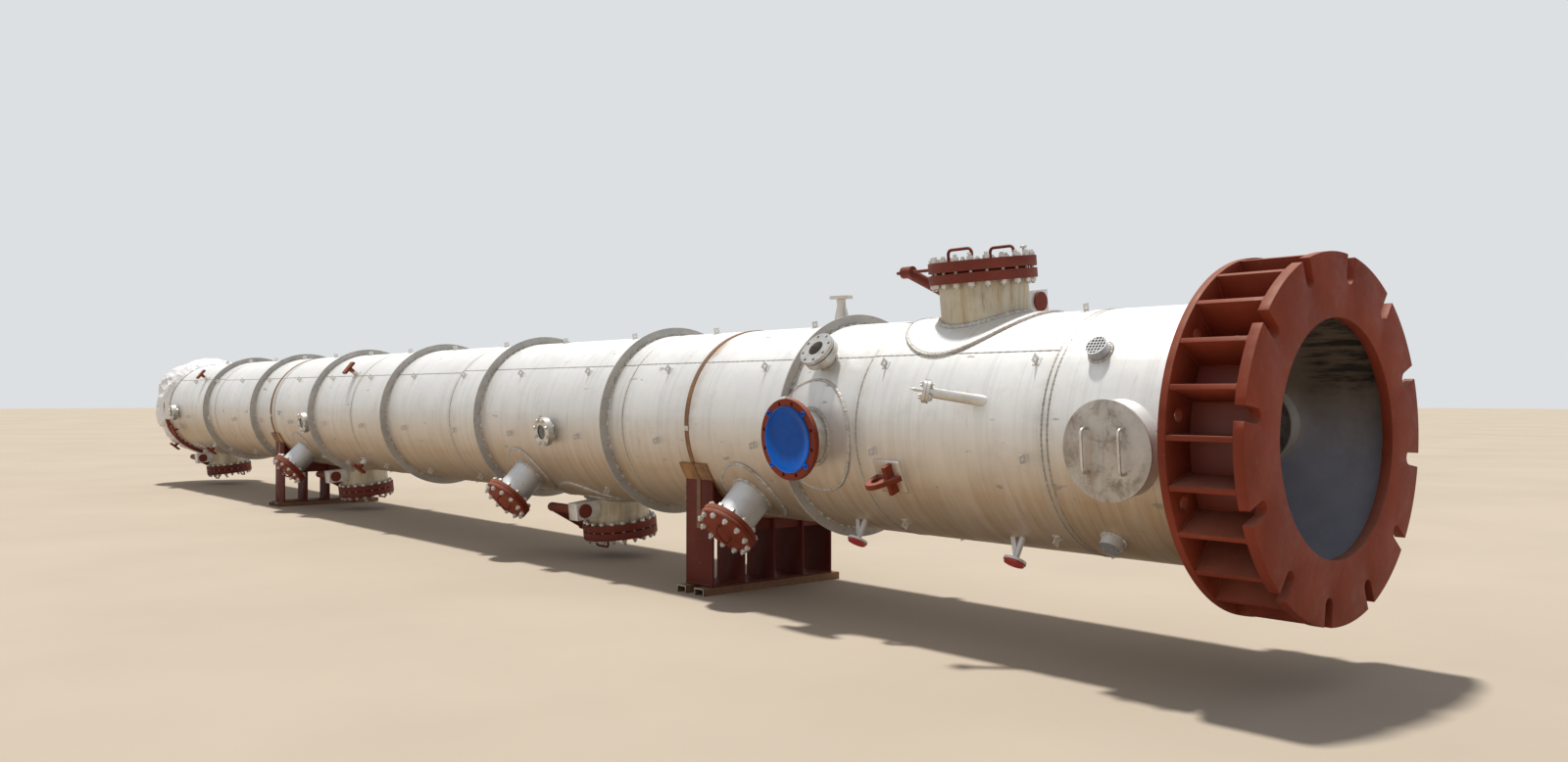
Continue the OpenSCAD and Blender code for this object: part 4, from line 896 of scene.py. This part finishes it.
HALF_CLIP = 0.0225
CLIP_BEAD = [(-0.007, 0, 0), (0, 0, 0.001), (0.007, 0, 0)]
clips = Piece()
for centre in loose_centres("insulation_clips"):
    foot = foot_under(centre)
    block(clips, (-HALF_CLIP, -HALF_CLIP, -0.004), (HALF_CLIP, HALF_CLIP, 0.0035), foot)
    lean = turned(dice.uniform(-3, 3), "Y")
    standing = foot @ moved(z=HALF_CLIP - 0.001) @ lean @ turned(90, "Y")
    holed_plate(clips, HALF_CLIP, 0.0070, 0.004, standing)
    for y in (-0.0135, 0.0135):
        spot = foot @ moved(0, y, 0.004)
        swept(clips, CLIP_BEAD, [0.002, 0.005, 0.002], sides=6, place=spot)
clip_thing = clips.make("clips", STAINLESS_FITTING, "stainless")
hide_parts("insulation_clips")

# Pipe brackets: a bare foot on a small pad, with a painted leg and cross bar. A block is half its
# length along the column, half its width, and its two heights above the shell
BRACKET_OUT = 0.126
BRACKET_FOOT = [(0.045, 0.012, -0.012, 0.060), (0.057, 0.040, -0.004, 0.006)]
BRACKET_BAR = [(0.045, 0.0125, 0.058, BRACKET_OUT - 0.020),
               (0.045, 0.075, BRACKET_OUT - 0.024, BRACKET_OUT)]
bracket_legs = Piece()
bracket_bars = Piece()
for centre in loose_centres("pipe_brackets"):
    foot = foot_under(centre)
    for piece, blocks in ((bracket_legs, BRACKET_FOOT), (bracket_bars, BRACKET_BAR)):
        for half_x, half_y, low, high in blocks:
            block(piece, (-half_x, -half_y, low), (half_x, half_y, high), foot)
bracket_legs.make("bracket_legs", STAINLESS_FITTING, "stainless")
bracket_thing = bracket_bars.make("brackets", RED, "red_primer")
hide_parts("pipe_brackets")

# Bolts


def nut(piece, across_flats, depth, place):
    """Hexagon nut standing on local z = 0, chamfered on its outer face."""
    corner = across_flats / math.sqrt(3)
    lathe(piece, [(0, 0), (corner, 0), (corner, depth * 0.80), (corner * 0.86, depth), (0, depth)],
          place, 6, smooth=False)


def stud(piece, radius, low, high, place):
    """Threaded bar between two heights, with bevelled ends."""
    pitch = 0.004
    profile = [(0, low), (radius * 0.75, low)]
    for i in range(int((high - low) / pitch)):
        z = low + (i + 0.5) * pitch
        profile += [(radius, z - pitch * 0.2), (radius * 0.90, z + pitch * 0.3)]
    profile += [(radius * 0.75, high), (0, high)]
    lathe(piece, profile, place, 10)


def bolted_joint(piece, place, circle_r, count, low, high, size, nut_depth, proud):
    """Studs on a bolt circle through a flange pair, with a nut on each face.

    low and high are the outer faces of the pair along local z, and size is the stud's diameter.
    """
    for i in range(count):
        spot = place @ turned((i + 0.5) * 360 / count) @ moved(circle_r)
        spin = turned(dice.uniform(0, 60))
        nut(piece, size * 1.55, nut_depth, spot @ moved(z=high) @ spin)
        nut(piece, size * 1.55, nut_depth, spot @ moved(z=low) @ turned(180, "X") @ spin)
        tip = proud * dice.uniform(0.6, 1.2)
        stud(piece, size / 2, high + nut_depth * 0.9, high + nut_depth + tip, spot)
        stud(piece, size / 2, low - nut_depth - tip * 0.8, low - nut_depth * 0.9, spot)
        lathe(piece, [(0, low), (size * 0.45, low), (size * 0.45, high), (0, high)], spot, 8)


def make_bolts(name, joints, **sizes):
    """The bolts of like joints, whose matrices are given, as one piece."""
    bolts = Piece()
    for joint in joints:
        bolted_joint(bolts, joint, **sizes)
    bolts.make(name, ZINC, "stainless")


manhole_bolts = Piece()
for place in MANHOLES:
    bolted_joint(manhole_bolts, side(*place), circle_r=0.2825, count=20,
                 low=MANHOLE_FLANGE, high=MANHOLE_TOP, size=0.022, nut_depth=0.022, proud=0.014)
    # Two jacking screws in the cover
    for turn in (-35, 205):
        jack = side(*place) @ turned(turn) @ moved(0.245)
        stud(manhole_bolts, 0.008, MANHOLE_TOP - 0.01, MANHOLE_TOP + 0.045, jack)
        nut(manhole_bolts, 0.034, 0.014, jack @ moved(z=MANHOLE_TOP + 0.045))
manhole_bolts.make("manhole_bolts", ZINC, "stainless")
make_bolts("handhole_bolts", [side(*place) for place in HANDHOLES], circle_r=0.181, count=12,
           low=HANDHOLE_LOW, high=HANDHOLE_TOP, size=0.022, nut_depth=0.021, proud=0.012)
make_bolts("sight_glass_bolts", [side(*place) for place in SIGHT_GLASSES], circle_r=0.09525,
           count=8, low=SIGHT_TOP - 0.048, high=SIGHT_TOP, size=0.016, nut_depth=0.013,
           proud=0.006)

# A lens is a low dome inside the sight glass's cover
LENS = [(0.0555, -0.013), (0.0555, -0.009), (0.050, -0.0065), (0.030, -0.0055), (0, -0.005)]
lenses = Piece()
for place in SIGHT_GLASSES:
    lathe(lenses, LENS, side(*place, SIGHT_TOP), 40)
lenses.make("sight_glass_lenses", GLASS, "sight_glass")

# Backing flange right behind the level nozzle's own, as wide and bare
BACKING_GAP = 0.010
BACKING_T = 0.042
BACKING = [
    (0.0575, -BACKING_T), (0.1115, -BACKING_T), (0.1145, 0.003 - BACKING_T), (0.1145, -0.003),
    (0.1115, 0), (0.0575, 0), (0.0575, -BACKING_T),
]
backing = Piece()
lathe(backing, BACKING, side(*LEVEL, LEVEL_FACE - LEVEL_FLANGE_T - BACKING_GAP), 72)
backing.make("level_backing_flange", BRIGHT, "stainless")

PROBE_TILT = 48
PROBE_LENGTH = 0.300
probe_joint = side(*PROBE, SHELL_R) @ turned(PROBE_TILT, "Y")
make_bolts("probe_bolts", [probe_joint], circle_r=0.048, count=4, low=PROBE_LENGTH - 0.034,
           high=PROBE_LENGTH, size=0.014, nut_depth=0.011, proud=0.010)

# Crimped seals on the straps
seals = Piece()
for height, azimuth in zip(SADDLES, (-86, -88)):
    seal = side(height, azimuth, SHELL_R + 0.005)
    block(seals, (-0.023, -0.016, -0.001), (0.023, 0.016, 0.004), seal)
    for x in (-0.009, 0.009):
        lathe(seals, [(0.004, 0.0035), (0.003, 0.006), (0, 0.0065)], seal @ moved(x), 10)
seals.make("strap_seals", ZINC, "rusty_steel")

# Shipping cover of the feed nozzle: a dished disc with a lip, and four tabs plugged into bolt holes
COVER_R = 0.197
BOLT_R = 0.216
COVER_DISC = [
    (0, 0.0005), (COVER_R - 0.004, 0.0005), (COVER_R, 0.003), (COVER_R, 0.008),
    (COVER_R - 0.004, 0.011), (COVER_R - 0.012, 0.011), (COVER_R - 0.017, 0.008),
    (COVER_R - 0.022, 0.0045), (COVER_R * 0.70, 0.0035), (COVER_R * 0.40, 0.0025), (0, 0.002),
]
COVER_PLUG = [
    (0.008, -0.012), (0.0115, -0.010), (0.0115, 0.001), (0.0165, 0.001), (0.0165, 0.006),
    (0.0135, 0.009), (0.009, 0.008), (0.008, -0.012),
]
cover = Piece()
feed_place = side(*FEED, FEED_FACE)
lathe(cover, COVER_DISC, feed_place, 96)
for turn in (45, 135, 225, 315):
    tab = feed_place @ turned(turn)
    block(cover, (COVER_R - 0.008, -0.011, 0.003), (BOLT_R - 0.006, 0.011, 0.007), tab)
    lathe(cover, COVER_PLUG, tab @ moved(BOLT_R), 20)
cover_thing = cover.make("feed_cover", BLUE, "blue_plastic")
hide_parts("feed_nozzle_cover")

# Plastic film over the top head: where its edge lies round the column, from the foot
FILM_EDGE = [
    (-180, 17.42), (-165, 17.52), (-150, 17.62), (-135, 17.645), (-120, 17.62), (-108, 17.56),
    (-101, 17.30), (-97, 17.20), (-70, 17.18), (-50, 17.13), (0, 17.12), (60, 17.13), (66, 17.295),
    (90, 17.30), (150, 17.35), (180, 17.42),
]
# How far from the axis the film stands along the column, and how steeply it rises from its edge
FILM_PROFILE = [
    (17.00, SHELL_R + 0.060), (17.20, SHELL_R + 0.072), (17.265, SHELL_R + 0.083),
    (17.33, SHELL_R + 0.085), (17.50, SHELL_R + 0.094), (17.60, SHELL_R + 0.086),
    (17.68, SHELL_R + 0.062), (17.75, 0.675), (17.82, 0.632), (17.89, 0.575), (17.945, 0.485),
    (17.99, 0.345), (18.035, 0.272), (18.062, 0.256), (18.078, 0.225), (18.083, 0.12), (18.084, 0),
]
FILM_RISE = 0.85
FILM_TIP = 18.0835
# Height and azimuth of the bracket under the film
FILM_LUMP = (17.58, -45)


def film_lump(height, azimuth):
    """How far the film is held out by the bracket under it."""
    across = abs(math.radians(turn_between(azimuth, FILM_LUMP[1])) * 0.76)
    along = abs(height - FILM_LUMP[0])
    away = math.hypot(max(across - 0.085, 0) / 0.22, max(along - 0.060, 0) / 0.16)
    return 0.070 * (1 - min(away, 1.0) ** 0.8)


def crease(point, scale):
    """Sharp folds: high along lines where a smooth noise crosses zero."""
    return 1 - min(abs(noise.noise(point * scale)) * 3.2, 1.0)


def along_table(value, table):
    """The second column of a table, read off between the two nearest entries of the first."""
    return float(np.interp(value, *zip(*table)))


def held(value):
    """Keeps a share between 0 and 1."""
    return max(0.0, min(1.0, value))


def film_line(azimuth, rows):
    """Heights and radii of the film along one azimuth, from its edge to the tip."""
    edge = along_table(turn_between(azimuth, 0), FILM_EDGE)
    turn = math.radians(azimuth)
    round_way = Vector((math.cos(turn), math.sin(turn), 0.3))
    edge += 0.022 * noise.noise(round_way * 4.0) + 0.010 * noise.noise(round_way * 15.0)
    heights = [edge + step for step in (0, 0.03, 0.06, 0.10)] + [h for h, r in FILM_PROFILE]
    heights = sorted(h for h in heights if h >= edge)
    radii = []
    for height in heights:
        full = along_table(height, FILM_PROFILE)
        radii.append(min(full, SHELL_R + 0.006 + FILM_RISE * (height - edge)))
    lengths = [0.0]
    for i in range(1, len(heights)):
        step = math.hypot(heights[i] - heights[i - 1], radii[i] - radii[i - 1])
        lengths.append(lengths[-1] + step)
    reach = [lengths[-1] * i / rows for i in range(rows)]
    return zip(np.interp(reach, lengths, heights), np.interp(reach, lengths, radii))


def wrapped_film():
    """The film's mesh, as a grid from its edge to its tip and round the column."""
    rows = 120
    columns = 400
    grid = []
    for k in range(columns):
        azimuth = 360 * k / columns
        for i, (height, radius) in enumerate(film_line(azimuth, rows)):
            share = i / rows
            spot = side(height, azimuth, radius).translation
            folds = 0.45 * crease(spot, 3.1) + 0.35 * crease(spot + Vector((5, 2, 1)), 7.3)
            folds += 0.20 * crease(spot + Vector((1, 7, 3)), 16.0)
            pleats = 0.5 + 0.5 * math.sin(math.radians(azimuth) * 23 + 5 * noise.noise(spot * 2.0))
            gather = held((share - 0.55) / 0.25) * held((0.99 - share) / 0.1)
            loose = held(share / 0.10)
            out = (0.046 * (folds - 0.35) + 0.016 * pleats * gather) * loose
            out += film_lump(height, azimuth) * loose
            top = min(height + out * held((share - 0.45) / 0.3) * 0.6, FILM_TIP)
            radius = max(radius + out * (1 - 0.6 * share), 0.02)
            grid.append(side(top, azimuth, radius).translation)
    faces = []
    for k in range(columns):
        m = (k + 1) % columns
        for i in range(rows - 1):
            faces.append((k * rows + i, m * rows + i, m * rows + i + 1, k * rows + i + 1))
        faces.append((k * rows + rows - 1, m * rows + rows - 1, len(grid)))
    grid.append(side(FILM_TIP, 0).translation)
    wrap = Piece()
    wrap.add(grid, faces)
    return wrap


film_thing = wrapped_film().make("plastic_film", FILM, "white_sheet", sharp=180)
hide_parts("end_wrap")

# Camera where the photograph was taken from, worked out from the rings and flanges in it
CAMERA_AHEAD = 2.538
CAMERA_ASIDE = -5.490
CAMERA_ABOVE = 0.202
CAMERA_YAW = 49.40
CAMERA_PITCH = 0.62
CAMERA_LENS = 27.889

camera_data = bpy.data.cameras.new("camera")
camera_data.sensor_width = 36
camera_data.lens = CAMERA_LENS
camera_data.clip_end = 200
camera = placed("camera", camera_data)
camera.matrix_world = (
    moved(FOOT_X + CAMERA_AHEAD, CAMERA_ASIDE, AXIS_Z + CAMERA_ABOVE)
    @ turned(CAMERA_YAW)
    @ turned(90 + CAMERA_PITCH, "X")
)
bpy.context.scene.camera = camera

# Pale floor
FLOOR_REACH = 120
floor = Piece()
block(floor, (-FLOOR_REACH, -FLOOR_REACH, -0.05), (FLOOR_REACH, FLOOR_REACH, 0))
floor_paint = Paint("floor")
clouds = floor_paint.between(floor_paint.noise(0.35), 0.35, 0.65)
sand = floor_paint.mix(clouds, (0.51, 0.435, 0.345), (0.47, 0.40, 0.315))
floor_paint.set(base_color=sand, roughness=0.9, specular_ior_level=0.1)
floor_thing = floor.make("floor", floor_paint.material)

# Soft sky light under a pale backdrop, and a soft sun from high above
SKY_LIGHT = (0.385, 0.40, 0.43)
BACKDROP = (0.72, 0.745, 0.765)
world = bpy.data.worlds.new("studio")
bpy.context.scene.world = world
world.use_nodes = True
sky = world.node_tree
rays = sky.nodes.new("ShaderNodeLightPath")
seen = rays.outputs["Is Camera Ray"]
for ray in ("Is Glossy Ray", "Is Transmission Ray"):
    added = sky.nodes.new("ShaderNodeMath")
    added.use_clamp = True
    sky.links.new(seen, added.inputs[0])
    sky.links.new(rays.outputs[ray], added.inputs[1])
    seen = added.outputs[0]
sky_colour = sky.nodes.new("ShaderNodeMix")
sky_colour.data_type = "RGBA"
sky_colour.inputs["A"].default_value = (*SKY_LIGHT, 1)
sky_colour.inputs["B"].default_value = (*BACKDROP, 1)
sky.links.new(seen, sky_colour.inputs["Factor"])
sky.links.new(sky_colour.outputs["Result"], sky.nodes["Background"].inputs["Color"])

SUN_POWER = 3.6
TO_SUN = Vector((-0.22, 0.06, 0.96))
sun_data = bpy.data.lights.new("sun", "SUN")
sun_data.energy = SUN_POWER
sun_data.angle = math.radians(4)
sun_data.color = (1.0, 0.975, 0.93)
sun = placed("sun", sun_data)
sun.rotation_euler = TO_SUN.to_track_quat("Z", "Y").to_euler()

bpy.context.scene.view_settings.view_transform = "Standard"
